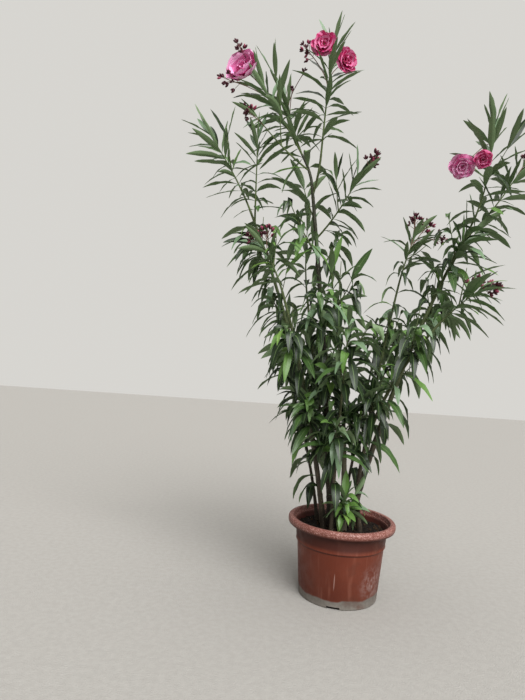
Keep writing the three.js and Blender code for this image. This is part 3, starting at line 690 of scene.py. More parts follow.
# The leafy shoots
# Young oleander wood, green and a little angled, with leathery lance leaves in whorls of three. They
# stand up near the tips, arch further down, and hang by their own weight low in the crown.
SHOOT_SIDES = 7
SHOOT_STEPS = 8
SHOOT_RADIUS, SHOOT_TIP_RADIUS = 0.0040, 0.0016
TWIG_RADIUS, TWIG_TIP_RADIUS = 0.0026, 0.0012
SIDE_SHOOT_RISE = 0.35
TWIG_SPREAD = 0.72
TWIG_RISE = 0.015
TWIG_PULL = 0.5
TWIG_WHORLS = 2
LOWEST_TWIG, TWIG_STRETCH = 0.25, 0.5
SHORTEST_TWIG = 0.7
GOLDEN_ANGLE = 2.39996
LEAVES_IN_WHORL = 3
FIRST_WHORL, LAST_WHORL = 0.16, 0.985
TURN_SCATTER = 0.6
WIDEST_ANGLE, NARROWEST_ANGLE, UPTURN = 1.15, 0.35, 1.3
ANGLE_SCATTER = 0.35
TIP_SHARE, TIP_LEAF_SHARE = 0.7, 0.85
LENGTH_SCATTER = 0.24
LEAF_GROWN = 1.12
DROOP_SCATTER = 0.7
DROOP_AT_FOOT, DROOP_PULL = 1.15, 0.87
LEAF_ROOT_DEPTH = 0.0012
STIFF_LEAF_BEND, HANGING_LEAF_BEND, BENT_LENGTH = 0.5, 0.42, 1.05
LEAF_ROLL = 1.1
SPACE_SHARE = 1.35
REACH_MARGIN = 0.02
FINE_SEED = 500
FINE_TWIG_WHORLS = 3
FINE_TWIGS_FROM, FINE_TWIGS_OVER = 0.15, 0.7
FIRST_FINE_WHORL = 0.15
FINE_LEAF_SHARE = 0.94
FINE_TWIGS_AT_FULL_DROOP = 0.9
LIMB_LEAVES_FROM = {"stem_left": 0.12, "stem_left_inner": 0.14, "stem_left_back": 0.18}
OTHER_LIMB_LEAVES_FROM = 0.3
LIMB_WHORL_SPACING = 0.055
LIMB_LEAF = 150
LIMB_DROOP = (1.1, 0.5)
LIMB_CLIMB = (0.1, 0.5)
LIMB_LEAVES_KEPT = (0.45, 1)
BARE_STRETCHES = {"stem_main": (0.5, 0.97), "bough_main_left": (0.0, 0.45)}
NOWHERE_BARE = (1, 1)
CLEARANCE = 0.004
POT_CLEARANCE = 0.006
BLOOM_CLEARANCE = 0.9
LIMB_TESTS = 60
BLADE_TESTS = np.array([0.3, 0.45, 0.6, 0.8, 1.0])
# The masses on each limb: a stem from the limb's tip, or at a share of its length, or from a foot on
# the soil, to a tip in mm. fine counts the whorls between two of the source's own, and 0 leaves out
# the fine twigs too. breadth widens the leaves, and fresh ones are young. A bloom is its x, y, z and
# radius in mm and its kind, and a head of buds its x, y and z in mm and its size, small once spent.
MASSES_ON = {
    "bough_main_right": {
        "leaves_top": dict(
            tip=(-152, -48, 2050), whorls=7, leaf=140, droop=0.5,
            blooms=[(-190, -70, 2052, 41, "rosette"), (-92, -38, 2012, 40, "rosette")],
            buds=[(-247, -20, 2050, 1)],
        ),
    },
    "bough_main_left": {
        "leaves_top_left": dict(
            tip=(-418, 24, 1932), whorls=6, leaf=150, droop=0.5, twigs=1,
            blooms=[(-492, 0, 1985, 53, "cup")],
            buds=[(-538, -14, 1918, 1), (-505, 0, 2052, 1)],
        ),
        "leaves_top_inner": dict(
            at=0.5, tip=(-318, 110, 1935), whorls=4, leaf=120, droop=0.35,
            buds=[(-254, 50, 1996, 0.4), (-293, 50, 1921, 0.4)],
        ),
        "leaves_top_stalk": dict(
            at=0.45, tip=(-420, -30, 1775), whorls=2, leaf=110, droop=0.6,
            buds=[(-445, -34, 1785, 1)],
        ),
    },
    "stem_main": {
        "leaves_main_side": dict(
            at=0.84, tip=(-30, -60, 1550), whorls=5, leaf=130, droop=0.6,
            buds=[(20, -72, 1622, 1)],
        ),
        "leaves_main_back": dict(
            at=0.9, tip=(-215, 120, 1560), whorls=4, leaf=140, droop=0.65, fine=0, breadth=1.15,
        ),
        "leaves_main_upper_left": dict(
            at=0.79, tip=(-268, -70, 1430), whorls=5, leaf=150, droop=0.85, fine=0, breadth=1.2,
        ),
        "leaves_main_upper_right": dict(
            at=0.74, tip=(-72, 62, 1362), whorls=4, leaf=150, droop=0.85, fine=0, breadth=1.2,
        ),
        "leaves_main_middle_right": dict(at=0.6, tip=(-20, -50, 1150), whorls=4, leaf=155, droop=0.9),
        "leaves_main_middle_front": dict(at=0.55, tip=(-160, -150, 1090), whorls=4, leaf=155, droop=0.9),
        "leaves_main_low_front": dict(at=0.34, tip=(-95, -135, 820), whorls=4, leaf=150, droop=0.8),
        "leaves_main_foot": dict(at=0.17, tip=(-85, -85, 600), whorls=4, leaf=130, droop=0.85),
        "leaves_main_low_back": dict(at=0.4, tip=(-60, 110, 880), whorls=4, leaf=155, droop=0.9),
    },
    "stem_left": {
        "leaves_left_outer": dict(tip=(-605, 62, 1735), whorls=6, leaf=125, droop=0.5, twigs=1),
        "leaves_left_inner": dict(at=0.955, tip=(-414, 30, 1715), whorls=5, leaf=120, droop=0.5),
        "leaves_left_upper": dict(at=0.8, tip=(-405, -10, 1310), whorls=5, leaf=155, droop=0.85),
        "leaves_left_middle": dict(at=0.62, tip=(-325, 60, 1120), whorls=4, leaf=155, droop=0.9),
        "leaves_left_back": dict(at=0.5, tip=(-235, 150, 930), whorls=4, leaf=155, droop=0.9),
        "leaves_left_low": dict(at=0.3, tip=(-190, 0, 735), whorls=5, leaf=145, droop=0.8),
        "leaves_left_foot": dict(at=0.15, tip=(-125, 50, 600), whorls=4, leaf=130, droop=0.8),
    },
    "stem_left_inner": {
        "leaves_inner_tip": dict(
            tip=(-368, -140, 1270), whorls=5, leaf=135, droop=0.65,
            buds=[(-392, -142, 1290, 1), (-352, -146, 1296, 1)],
        ),
        "leaves_inner_middle": dict(at=0.72, tip=(-262, -180, 960), whorls=4, leaf=155, droop=0.9),
        "leaves_inner_low": dict(at=0.42, tip=(-165, -120, 690), whorls=5, leaf=145, droop=0.8),
        "leaves_inner_foot": dict(at=0.22, tip=(-115, -60, 560), whorls=4, leaf=125, droop=0.85),
    },
    "stem_left_back": {
        "leaves_left_back_tip": dict(tip=(-250, 185, 1010), whorls=5, leaf=150, droop=0.8),
    },
    "stem_back": {
        "leaves_back_low": dict(at=0.35, tip=(-95, 150, 700), whorls=4, leaf=145, droop=0.8),
        "leaves_back_tip": dict(
            tip=(-190, 150, 1400), whorls=5, leaf=140, droop=0.65, fine=0, breadth=1.15,
        ),
        "leaves_back_middle": dict(at=0.66, tip=(-110, 185, 930), whorls=4, leaf=150, droop=0.9),
    },
    "stem_thin": {
        "leaves_thin_tip": dict(
            tip=(-110, -105, 1190), whorls=5, leaf=140, droop=0.7, twigs=1, fine=0, breadth=1.2,
        ),
        "leaves_thin_low": dict(at=0.5, tip=(12, -115, 720), whorls=4, leaf=145, droop=0.8),
    },
    "stem_right": {
        "leaves_right_tip": dict(
            tip=(508, 42, 1830), whorls=6, leaf=155, droop=0.5, breadth=1.2, twigs=1,
            blooms=[(376, -8, 1646, 40, "faded rosette"), (440, -42, 1664, 29, "rosette")],
        ),
        "leaves_right_fork": dict(
            at=0.955, tip=(640, 62, 1690), whorls=5, leaf=145, droop=0.5, breadth=1.2,
            buds=[(655, 62, 1715, 1)],
        ),
        "leaves_right_upper": dict(
            at=0.82, tip=(390, -50, 1370), whorls=5, leaf=145, droop=0.7, twigs=1, breadth=1.15,
        ),
        "leaves_right_middle": dict(at=0.66, tip=(348, 92, 1120), whorls=4, leaf=155, droop=0.9, twigs=1),
        "leaves_right_low": dict(at=0.42, tip=(185, 55, 860), whorls=4, leaf=145, droop=0.8, twigs=1),
    },
    "stem_right_front": {
        "leaves_right_front_tip": dict(
            tip=(405, -150, 1150), whorls=5, leaf=140, droop=0.65,
            buds=[(446, -152, 1158, 1), (392, -152, 1166, 1)],
        ),
        "leaves_right_front_middle": dict(at=0.8, tip=(180, -175, 985), whorls=4, leaf=155, droop=0.95),
        "leaves_right_front_low": dict(at=0.5, tip=(55, -140, 745), whorls=4, leaf=145, droop=0.8),
    },
    "stem_right_back": {
        "leaves_right_back_tip": dict(
            tip=(246, 122, 1400), whorls=5, leaf=130, droop=0.6,
            buds=[(342, 120, 1392, 1), (242, 118, 1455, 1), (290, 120, 1440, 1)],
        ),
        "leaves_right_back_middle": dict(at=0.68, tip=(200, 190, 1000), whorls=4, leaf=150, droop=0.9),
        "leaves_right_back_low": dict(at=0.36, tip=(110, 125, 740), whorls=4, leaf=145, droop=0.8),
    },
    "stem_front": {
        "leaves_front_low": dict(at=0.5, tip=(-70, -190, 640), whorls=4, leaf=140, droop=0.8),
        "leaves_front_tip": dict(tip=(-60, -255, 990), whorls=5, leaf=150, droop=0.8, twigs=1),
    },
    "stem_back_right": {
        "leaves_back_right_tip": dict(tip=(140, 190, 1040), whorls=5, leaf=150, droop=0.8, twigs=1),
    },
    "sprout": {
        "leaves_sprout": dict(
            foot=(-14, -98), tip=(-12, -106, 384), whorls=6, leaf=94, droop=0.75,
            fine=2, breadth=1.4, fresh=True,
        ),
    },
}
MASSES = {name: dict(spec, on=limb) for limb, rows in MASSES_ON.items() for name, spec in rows.items()}


def seeded_random(seed):
    """A function that gives the same shares from 0 to 1 each run, as the source's rule draws them."""
    state = (seed * 7919 + 104729) % 2147483647

    def draw():
        nonlocal state
        state = state * 16807 % 2147483647
        return state / 2147483647

    return draw


def scatter(draw, reach):
    """A random share about nothing, within half a reach on each side."""
    return (draw() - 0.5) * reach


def lerp(start, end, share):
    """The value at a share of the way from start to end."""
    return start + (end - start) * share


def crown_height(place):
    """How high a place is in the crown, from 0 at the rim to 1 at the top."""
    return np.clip((place[2] - POT_HEIGHT) / (cad_box[1].z - POT_HEIGHT), 0, 1)


def mass_course(spec):
    """A mass's stem: on from its limb's tip, out of the limb's side and then up, or from the soil."""
    tip = np.array(spec["tip"]) * MM
    if "foot" in spec:
        start = np.array([spec["foot"][0] * MM, spec["foot"][1] * MM, SOIL_TOP + GAP])
        return sweep(start, UP, tip, GROWTH_PULL)
    parent = limb_courses[spec["on"]]
    if "at" not in spec:
        heading = parent.heading(1.0)
        return sweep(parent.place(1.0) + heading * GAP, heading, tip, GROWTH_PULL)
    start = parent.place(spec["at"])
    control = (start + tip) / 2
    control[2] = lerp(start[2], tip[2], SIDE_SHOOT_RISE)
    return Course(start, control, tip)


def outwards(heading, turn):
    """The direction across a stem at a turn round it."""
    across = unit(np.cross((1, 0, 0) if abs(heading[2]) > STEEP else UP, heading))
    return across * math.cos(turn) + np.cross(heading, across) * math.sin(turn)


def leaning(heading, out, angle):
    """The direction that leans off a stem's own by an angle, towards the outside."""
    return heading * math.cos(angle) + out * math.sin(angle)


def whorl_leaves(course, spec, climb, number, draw, size_share=1.0, along=None):
    """The leaves of one whorl, at a share of the climb up the leafy part of a stem."""
    if along is None:
        along = lerp(FIRST_WHORL, LAST_WHORL, climb)
    root = course.place(along)
    heading = course.heading(along)
    spread = lerp(WIDEST_ANGLE, NARROWEST_ANGLE, climb**UPTURN)
    hang = spec["droop"] * lerp(DROOP_AT_FOOT, spec["droop"], climb)
    size = spec["leaf"] * MM * LEAF_GROWN * (TIP_LEAF_SHARE if climb > TIP_SHARE else 1) * size_share
    leaves = []
    for i in range(LEAVES_IN_WHORL):
        turn = (number + 2 * i) * math.pi / 3 + scatter(draw, TURN_SCATTER)
        lean = spread + scatter(draw, ANGLE_SCATTER)
        length = size * (1 + scatter(draw, LENGTH_SCATTER))
        droop = min(1, hang * (1 + scatter(draw, DROOP_SCATTER)))
        roll = scatter(draw, LEAF_ROLL)
        out = outwards(heading, turn)
        first = leaning(heading, out, lean)
        second = unit(first + (-UP - first) * droop * DROOP_PULL)
        base = root - first * LEAF_ROOT_DEPTH
        reach = lerp(STIFF_LEAF_BEND, HANGING_LEAF_BEND, droop)
        bend = base + first * length * reach
        tip = bend + second * length * (BENT_LENGTH - reach)
        side = unit(np.cross(heading, out))
        side = side * math.cos(roll) + np.cross(first, side) * math.sin(roll)
        leaves.append(
            dict(base=base, bend=bend, tip=tip, side=side, length=length, climb=climb, spec=spec)
        )
    return leaves


def grow_leaves(course, spec, whorls, draw):
    """The leaves of one stem by the source's rule."""
    leaves = []
    for whorl in range(whorls):
        climb = whorl / (whorls - 1) if whorls > 1 else 1
        leaves += whorl_leaves(course, spec, climb, whorl, draw)
    return leaves


def grow_twig(course, number, along, length, draw):
    """A side twig, turned round its stem by the golden angle."""
    start = course.place(along)
    heading = course.heading(along)
    direction = leaning(heading, outwards(heading, number * GOLDEN_ANGLE + draw()), TWIG_SPREAD)
    return sweep(start, direction, start + direction * length + UP * TWIG_RISE, TWIG_PULL)


def grow_fine(course, spec, draw):
    """What the source leaves out: whorls between its whorls, and finer twigs with smaller leaves."""
    leaves, twigs = [], []
    fine = spec.get("fine", 1)
    for whorl in range(spec["whorls"] - 1):
        for part in np.arange(1, fine + 1) / (fine + 1):
            climb = (whorl + part) / (spec["whorls"] - 1)
            leaves += whorl_leaves(course, spec, climb, whorl + part, draw, FINE_LEAF_SHARE)
    count = round(FINE_TWIGS_AT_FULL_DROOP * spec["droop"]) if fine else 0
    for i in range(count):
        along = FINE_TWIGS_FROM + FINE_TWIGS_OVER * (i + 0.5) / count
        length = spec["leaf"] * MM * lerp(SHORTEST_TWIG, 1, draw())
        twig = grow_twig(course, i + 0.5, along, length, draw)
        twigs.append(twig)
        for whorl in range(FINE_TWIG_WHORLS):
            climb = lerp(FIRST_FINE_WHORL, 1, whorl / (FINE_TWIG_WHORLS - 1))
            leaves += whorl_leaves(twig, spec, climb, whorl, draw, FINE_LEAF_SHARE)
    return leaves, twigs


def grow_on_limb(name, draw):
    """Whorls of leaves along the upper part of a limb, further apart than on a shoot."""
    course = limb_courses[name]
    leafy_from = LIMB_LEAVES_FROM.get(name, OTHER_LIMB_LEAVES_FROM)
    bare_from, bare_to = BARE_STRETCHES.get(name, NOWHERE_BARE)
    leaves = []
    for whorl in range(int((1 - leafy_from) * course.length / LIMB_WHORL_SPACING)):
        along = leafy_from + (whorl + 0.5) * LIMB_WHORL_SPACING / course.length
        if bare_from < along < bare_to:
            continue
        height = crown_height(course.place(along))
        spec = dict(leaf=LIMB_LEAF, droop=lerp(*LIMB_DROOP, height))
        for leaf in whorl_leaves(course, spec, lerp(*LIMB_CLIMB, height), whorl, draw, along=along):
            if draw() < lerp(*LIMB_LEAVES_KEPT, height):
                leaves.append(leaf)
    return leaves


limb_shares = np.linspace(0, 1, LIMB_TESTS)
limb_places = np.concatenate([c.place(limb_shares) for c in limb_courses.values()])
limb_sizes = np.concatenate([limb_radius(LIMBS[n], c, limb_shares) for n, c in limb_courses.items()])
bloom_balls = np.array([bloom[:4] for spec in MASSES.values() for bloom in spec.get("blooms", [])]) * MM


def in_space(leaf, course, spec, name):
    """True where a leaf ends inside the space of its mass: a column about its stem, in the mass's box."""
    start, end = course.place(0.0), course.place(1.0)
    share = np.clip((leaf["tip"] - start) @ (end - start) / ((end - start) @ (end - start)), 0, 1)
    low, high = (np.array(corner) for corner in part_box(name))
    in_box = (leaf["tip"] > low - REACH_MARGIN).all() and (leaf["tip"] < high + REACH_MARGIN).all()
    offset = np.linalg.norm(leaf["tip"] - start - share * (end - start))
    return in_box and offset < spec["leaf"] * MM * SPACE_SHARE


def is_free(leaf):
    """True where a leaf stays clear of the limbs, the flowers, the tub and the soil."""
    blade = Course(leaf["base"], leaf["bend"], leaf["tip"]).at_parameter(BLADE_TESTS)
    gaps = np.linalg.norm(blade[:, None] - limb_places[None], axis=2) - limb_sizes
    if gaps.min() < CLEARANCE:
        return False
    to_blooms = np.linalg.norm(blade[:, None] - bloom_balls[None, :, :3], axis=2)
    if (to_blooms < bloom_balls[:, 3] * BLOOM_CLEARANCE).any():
        return False
    over_pot = np.hypot(blade[:, 0], blade[:, 1]) < RIM_RADIUS + POT_CLEARANCE
    over_soil = np.hypot(blade[:, 0], blade[:, 1]) < MOUTH_RADIUS - 3 * POT_CLEARANCE
    lowest = np.where(over_soil, SOIL_TOP + POT_CLEARANCE, POT_HEIGHT + POT_CLEARANCE)
    return bool((~over_pot | (blade[:, 2] > lowest)).all())


def shortened(leaf, share):
    """The same leaf at a share of its length."""
    base = leaf["base"]
    bend, tip = (base + (leaf[end] - base) * share for end in ("bend", "tip"))
    return dict(leaf, bend=bend, tip=tip, length=leaf["length"] * share)


def fitting(leaves, course, spec, name, shares):
    """Each leaf at the first of the shares of its length that keeps it in its space and clear of all."""
    kept = []
    for leaf in leaves:
        for share in shares:
            trial = shortened(leaf, share)
            if in_space(trial, course, spec, name) and is_free(trial):
                kept.append(trial)
                break
    return kept


def grown_mass(number, name, spec):
    """A mass's stem, its twigs, and its leaves: the source's own, whole or less grown, and the fine ones."""
    course = mass_course(spec)
    draw = seeded_random(number + 1)
    leaves = grow_leaves(course, spec, spec["whorls"], draw)
    twigs = []
    for i in range(spec.get("twigs", 0)):
        along = LOWEST_TWIG + TWIG_STRETCH * (i + 0.5) / spec["twigs"]
        length = spec["leaf"] * MM * lerp(SHORTEST_TWIG, 1, draw())
        twigs.append(grow_twig(course, i, along, length, draw))
    for twig in twigs:
        leaves += grow_leaves(twig, spec, TWIG_WHORLS, draw)
    fine_leaves, fine_twigs = grow_fine(course, spec, seeded_random(FINE_SEED + number))
    kept = fitting(leaves, course, spec, name, (1, 1 / LEAF_GROWN))
    kept += fitting(fine_leaves, course, spec, name, (1,))
    return dict(course=course, twigs=twigs + fine_twigs, leaves=kept)


shoots = {}
for number, (name, spec) in enumerate(MASSES.items()):
    shoots[name] = grown_mass(number, name, spec)
limb_leaves = {}
for number, name in enumerate(LIMBS):
    leaves = grow_on_limb(name, seeded_random(2 * FINE_SEED + number))
    limb_leaves[name] = [leaf for leaf in leaves if is_free(leaf)]


# The leaves and twigs
# Each limb's leaves are one piece: thin stiff blades, folded along a pale midrib, waved at the edge
# and grey-green below. The slender green wood that bears them is another, set into the limb.
LEAF_OUTLINE = (
    (0, 0.06), (0.05, 0.11), (0.15, 0.46), (0.27, 0.78), (0.4, 0.96), (0.53, 1.0), (0.66, 0.93),
    (0.78, 0.74), (0.88, 0.48), (0.95, 0.24), (1, 0),
)
LEAF_SLENDERNESS = (4.8, 6.4)
SLIMMER_AT_TOP = 1.36
MIDRIB = 0.055
LEAF_THICKNESS = 0.0016
FOLD = (0.1, 0.36)
TWIST = 0.7
LEAF_WAVE, WAVE_TURNS = 0.012, 17
THICKNESS_AT_ENDS = 0.4
LEAF_COLUMNS = (-1, -MIDRIB, MIDRIB, 1)
LEAF_GLOSS = 0.4
# Upper greens from deep to fresh; the bright yellow-green partly stands as painted sunlight through the
# leaf, the grey-green as a painted sheen of the sky
UPPER_GREENS = ("#1D2D15", "#3B5629", "#5B7E3C", "#6B8B42", "#6C8566")
TONES_LOW = (0.72, 0.20, 0.04, 0.01, 0.03)
TONES_HIGH = (0.17, 0.21, 0.27, 0.07, 0.28)
TONES_FRESH = (0.02, 0.18, 0.38, 0.12, 0.30)
# How much the climb up the shoot, the height and the reach outwards lighten a leaf's green: fresher near
# tips, painted light high and outside, painted shade low within
FRESH_BY_CLIMB, FRESH_AND_LIT_BY_HEIGHT, FRESH_AND_LIT_BY_REACH, FRESH_START = 0.35, 0.9, 0.45, 0.36
CROWN_MIDDLE, CROWN_REACH = 0.05, 0.5


def backed(name, sheet, is_inner, back_slot=None):
    """The mesh of a sheet with a back: joined at its edge, and at Z -1 where a vertex is inner."""
    parts = sheet.verts[:] + sheet.edges[:] + sheet.faces[:]
    back = bmesh.ops.duplicate(sheet, geom=parts)["geom"]
    back_faces = [part for part in back if isinstance(part, bmesh.types.BMFace)]
    bmesh.ops.reverse_faces(sheet, faces=back_faces)
    if back_slot is not None:
        for face in back_faces:
            face.material_index = back_slot
    for vertex in [part for part in back if isinstance(part, bmesh.types.BMVert)]:
        if is_inner(vertex):
            vertex.co.z = -1
    bmesh.ops.remove_doubles(sheet, verts=sheet.verts, dist=1e-5)
    return mesh_from(name, sheet)


def leaf_template():
    """A lance leaf as a grid: X across from -1 to 1, Y along from 0 to 1, Z 0 above and -1 below."""
    rows, columns = len(LEAF_OUTLINE) - 1, len(LEAF_COLUMNS) - 1
    shape = bmesh.new()
    bmesh.ops.create_grid(shape, x_segments=columns, y_segments=rows, size=1)
    for vertex in shape.verts:
        row = round((vertex.co.y + 1) / 2 * rows)
        column = round((vertex.co.x + 1) / 2 * columns)
        across = LEAF_COLUMNS[column] if row < rows else 0
        vertex.co = (across, LEAF_OUTLINE[row][0], 0)
    for face in shape.faces:
        face.material_index = int(abs(face.calc_center_median().x) < MIDRIB)
    return backed("leaf", shape, lambda vertex: abs(vertex.co.x) < 0.5 and vertex.co.y < 1, 2)


def bent_leaves(template, leaves, random):
    """The template's vertices laid along each leaf's course, folded and a little twisted."""
    across, along, level = vertices_of(template).astype(float).T
    width = np.interp(along, *np.array(LEAF_OUTLINE).T)
    courses = np.array([(leaf["base"], leaf["bend"], leaf["tip"]) for leaf in leaves])
    base, bend, tip = (courses[:, i, None, :] for i in range(3))
    t = along[None, :, None]
    places = (1 - t) ** 2 * base + 2 * t * (1 - t) * bend + t**2 * tip
    headings = unit((1 - t) * (bend - base) + t * (tip - bend))
    sides = np.array([leaf["side"] for leaf in leaves])[:, None, :]
    sides = unit(sides - headings * (sides * headings).sum(axis=2, keepdims=True))
    ups = np.cross(headings, sides)
    turns = (random.uniform(-TWIST, TWIST, (len(leaves), 1)) * along)[..., None]
    sides, ups = sides * np.cos(turns) + ups * np.sin(turns), ups * np.cos(turns) - sides * np.sin(turns)
    lengths = np.array([leaf["length"] for leaf in leaves])[:, None]
    heights = np.array([crown_height(leaf["base"]) for leaf in leaves])[:, None]
    slenderness = random.uniform(*LEAF_SLENDERNESS, (len(leaves), 1)) * lerp(1, SLIMMER_AT_TOP, heights)
    breadths = np.array([leaf["spec"].get("breadth", 1) for leaf in leaves])[:, None]
    reach = lengths / slenderness / 2 * breadths * width * across
    folds = random.uniform(*FOLD, (len(leaves), 1))
    starts = random.uniform(0, math.tau, (len(leaves), 1))
    waves = np.sin(along * WAVE_TURNS + starts + 2 * across) * np.abs(across) ** 2
    thickness = LEAF_THICKNESS * lerp(THICKNESS_AT_ENDS, 1, width)
    rise = folds * np.abs(reach) + level * thickness + waves * LEAF_WAVE * lengths * width
    return places - sides * reach[..., None] + ups * rise[..., None]


def plain_tissue(name, shade, roughness, gloss):
    """Leaf, petal or bud in one plain colour, with its roughness and its gloss."""
    material, tree = new_material(name)
    finish_material(
        tree, {"Base Color": linear(shade), "Roughness": roughness, "Specular IOR Level": gloss}
    )
    return material


def leaf_greens():
    """Leathery oleander leaf: deep to fresh greens above, the last two partly painted sunlight and painted
    sheen, a pale midrib, and a grey-green underside.
    """
    looks = [("oleander leaf, upper side " + shade, shade, 0.4) for shade in UPPER_GREENS]
    looks += [("oleander leaf, midrib", "#66804A", 0.45), ("oleander leaf, underside", "#697F58", 0.6)]
    return [plain_tissue(name, shade, roughness, LEAF_GLOSS) for name, shade, roughness in looks]


def tones_of(leaves, random):
    """The green dealt out to each leaf: fresher towards the tips, painted light at the top and outside of
    the crown, painted shade low inside it.
    """
    tones = []
    for leaf in leaves:
        # Painted light and shade: lighter greens high and outside the crown, the deep green low and inside
        # it.
        outside = min(1, math.hypot(leaf["tip"][0] + CROWN_MIDDLE, leaf["tip"][1]) / CROWN_REACH)
        share = FRESH_BY_CLIMB * leaf["climb"] + FRESH_AND_LIT_BY_HEIGHT * crown_height(leaf["tip"])
        share = np.clip(share + FRESH_AND_LIT_BY_REACH * outside - FRESH_START, 0, 1)
        chances = lerp(np.array(TONES_LOW), np.array(TONES_HIGH), share)
        if leaf["spec"].get("fresh"):
            chances = np.array(TONES_FRESH)
        tones.append(int(random.choice(len(UPPER_GREENS), p=chances / chances.sum())))
    return tones


blade = leaf_template()
blade_faces = np.array([face.material_index for face in blade.polygons])
greens = leaf_greens()
shoot_bark = bark("oleander shoot, green", "#333A20", "#434B2A", "#4E5F2C", 0.5, 1.7)
shoot_rod = rod_template("shoot", SHOOT_SIDES, SHOOT_STEPS)
random = np.random.default_rng(23)
for bearer, masses in MASSES_ON.items():
    names = list(masses)
    leaves = [leaf for name in names for leaf in shoots[name]["leaves"]] + limb_leaves.get(bearer, [])
    tones = [(tone, len(UPPER_GREENS), len(UPPER_GREENS) + 1) for tone in tones_of(leaves, random)]
    face_materials = [np.choose(blade_faces, tone) for tone in tones]
    mesh = joined_mesh("leaves_on_" + bearer, blade, bent_leaves(blade, leaves, random), face_materials)
    foliage = piece_of("leaves_on_" + bearer, mesh, greens, 50)
    rods = []
    for name in names:
        stem = shoots[name]["course"]
        rods.append(bent_rod(shoot_rod, stem, lambda s: lerp(SHOOT_RADIUS, SHOOT_TIP_RADIUS, s)))
        for twig in shoots[name]["twigs"]:
            rods.append(bent_rod(shoot_rod, twig, lambda s: lerp(TWIG_RADIUS, TWIG_TIP_RADIUS, s)))
    mesh = joined_mesh("shoots_on_" + bearer, shoot_rod, np.array(rods))
    wood = piece_of("shoots_on_" + bearer, mesh, [shoot_bark], 60)
    for piece in (foliage, wood):
        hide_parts(*names)
        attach(piece, "root")


# The double flowers
# Garden oleander flowers at the ends of the highest shoots: round crimson-pink rosettes of whorled
# petals, an older one faded to lilac, and a lilac one open like a cup. Soft, matt and pale-edged.
STALK_PULL = 0.35
HIGHEST_STALK, STALK_SPACING = 0.8, 0.11
STALK_RADIUS = 0.0016
# Whorls of petals: their number, length and width by the flower's radius, and their lean in degrees
# at the foot and at the edge
ROSETTE = (
    (5, 1.18, 0.88, 64, 104),
    (5, 1.06, 0.78, 46, 78),
    (4, 0.90, 0.66, 28, 54),
    (3, 0.70, 0.48, 10, 30),
)
CUP = ((5, 1.52, 0.98, 96, 26), (4, 1.30, 0.86, 70, 20), (3, 0.80, 0.50, 34, 8))
# Each kind's whorls, its turn towards the light, and the first of its two petal materials
FLOWER_KINDS = {
    "rosette": (ROSETTE, (0.0, -1.5, -0.8), 0),
    "faded rosette": (ROSETTE, (0.2, -1.5, -0.6), 2),
    "cup": (CUP, (0.0, -1.2, -0.3), 2),
}
PETAL_COLUMNS, PETAL_ROWS = 7, 8
PETAL_THICKNESS = 0.0009
PETAL_RUFFLE = 0.07
# Each ripple's share of the ruffle, its waves across and along, and how it grows towards the edge
PETAL_RIPPLES = ((1, 3.4, 3, 2), (0.4, 7, -5, 3))
PETAL_CUP = 0.34
PETAL_EDGE = 0.8
PETAL_FOOT_WIDTH, PETAL_WIDEST, PETAL_FLARE = 0.2, 0.66, 1.2
PETAL_ROUNDS_FROM, PETAL_ROUND, PETAL_END_WIDTH = 0.62, 0.40, 0.06
PETAL_TURN_SCATTER = 0.1
PETAL_FOOT_SCATTER, PETAL_EDGE_SCATTER = 5, 12
PETAL_REACH = (0.94, 1.06)
PETAL_RUN_STEPS = 60
FLOWER_DEPTH = 0.5
SOFT_GLOSS = 0.3


def petal_template():
    """A petal as a grid with a back: X across from -1 to 1, Y along from 0 to 1, Z 0 or -1."""
    shape = bmesh.new()
    bmesh.ops.create_grid(shape, x_segments=PETAL_COLUMNS, y_segments=PETAL_ROWS, size=1)
    for vertex in shape.verts:
        vertex.co.y = (vertex.co.y + 1) / 2
    for face in shape.faces:
        face.material_index = int(face.calc_center_median().y > PETAL_EDGE)
    return backed("petal", shape, lambda vertex: not vertex.is_boundary)


def stalk_course(course, end, number):
    """The stalk from a shoot to a flower or a head of buds, each lower than the last."""
    along = HIGHEST_STALK - STALK_SPACING * number
    return sweep(course.place(along), course.heading(along), np.array(end) * MM, STALK_PULL)


def petal_run(start, end, along):
    """How far out and up a petal has come at each share of its length, as its lean changes."""
    shares = np.linspace(0, 1, PETAL_RUN_STEPS)
    leans = lerp(start, end, shares)
    out = np.interp(along, shares, np.cumsum(np.sin(leans)) / len(shares))
    up = np.interp(along, shares, np.cumsum(np.cos(leans)) / len(shares))
    return out, up


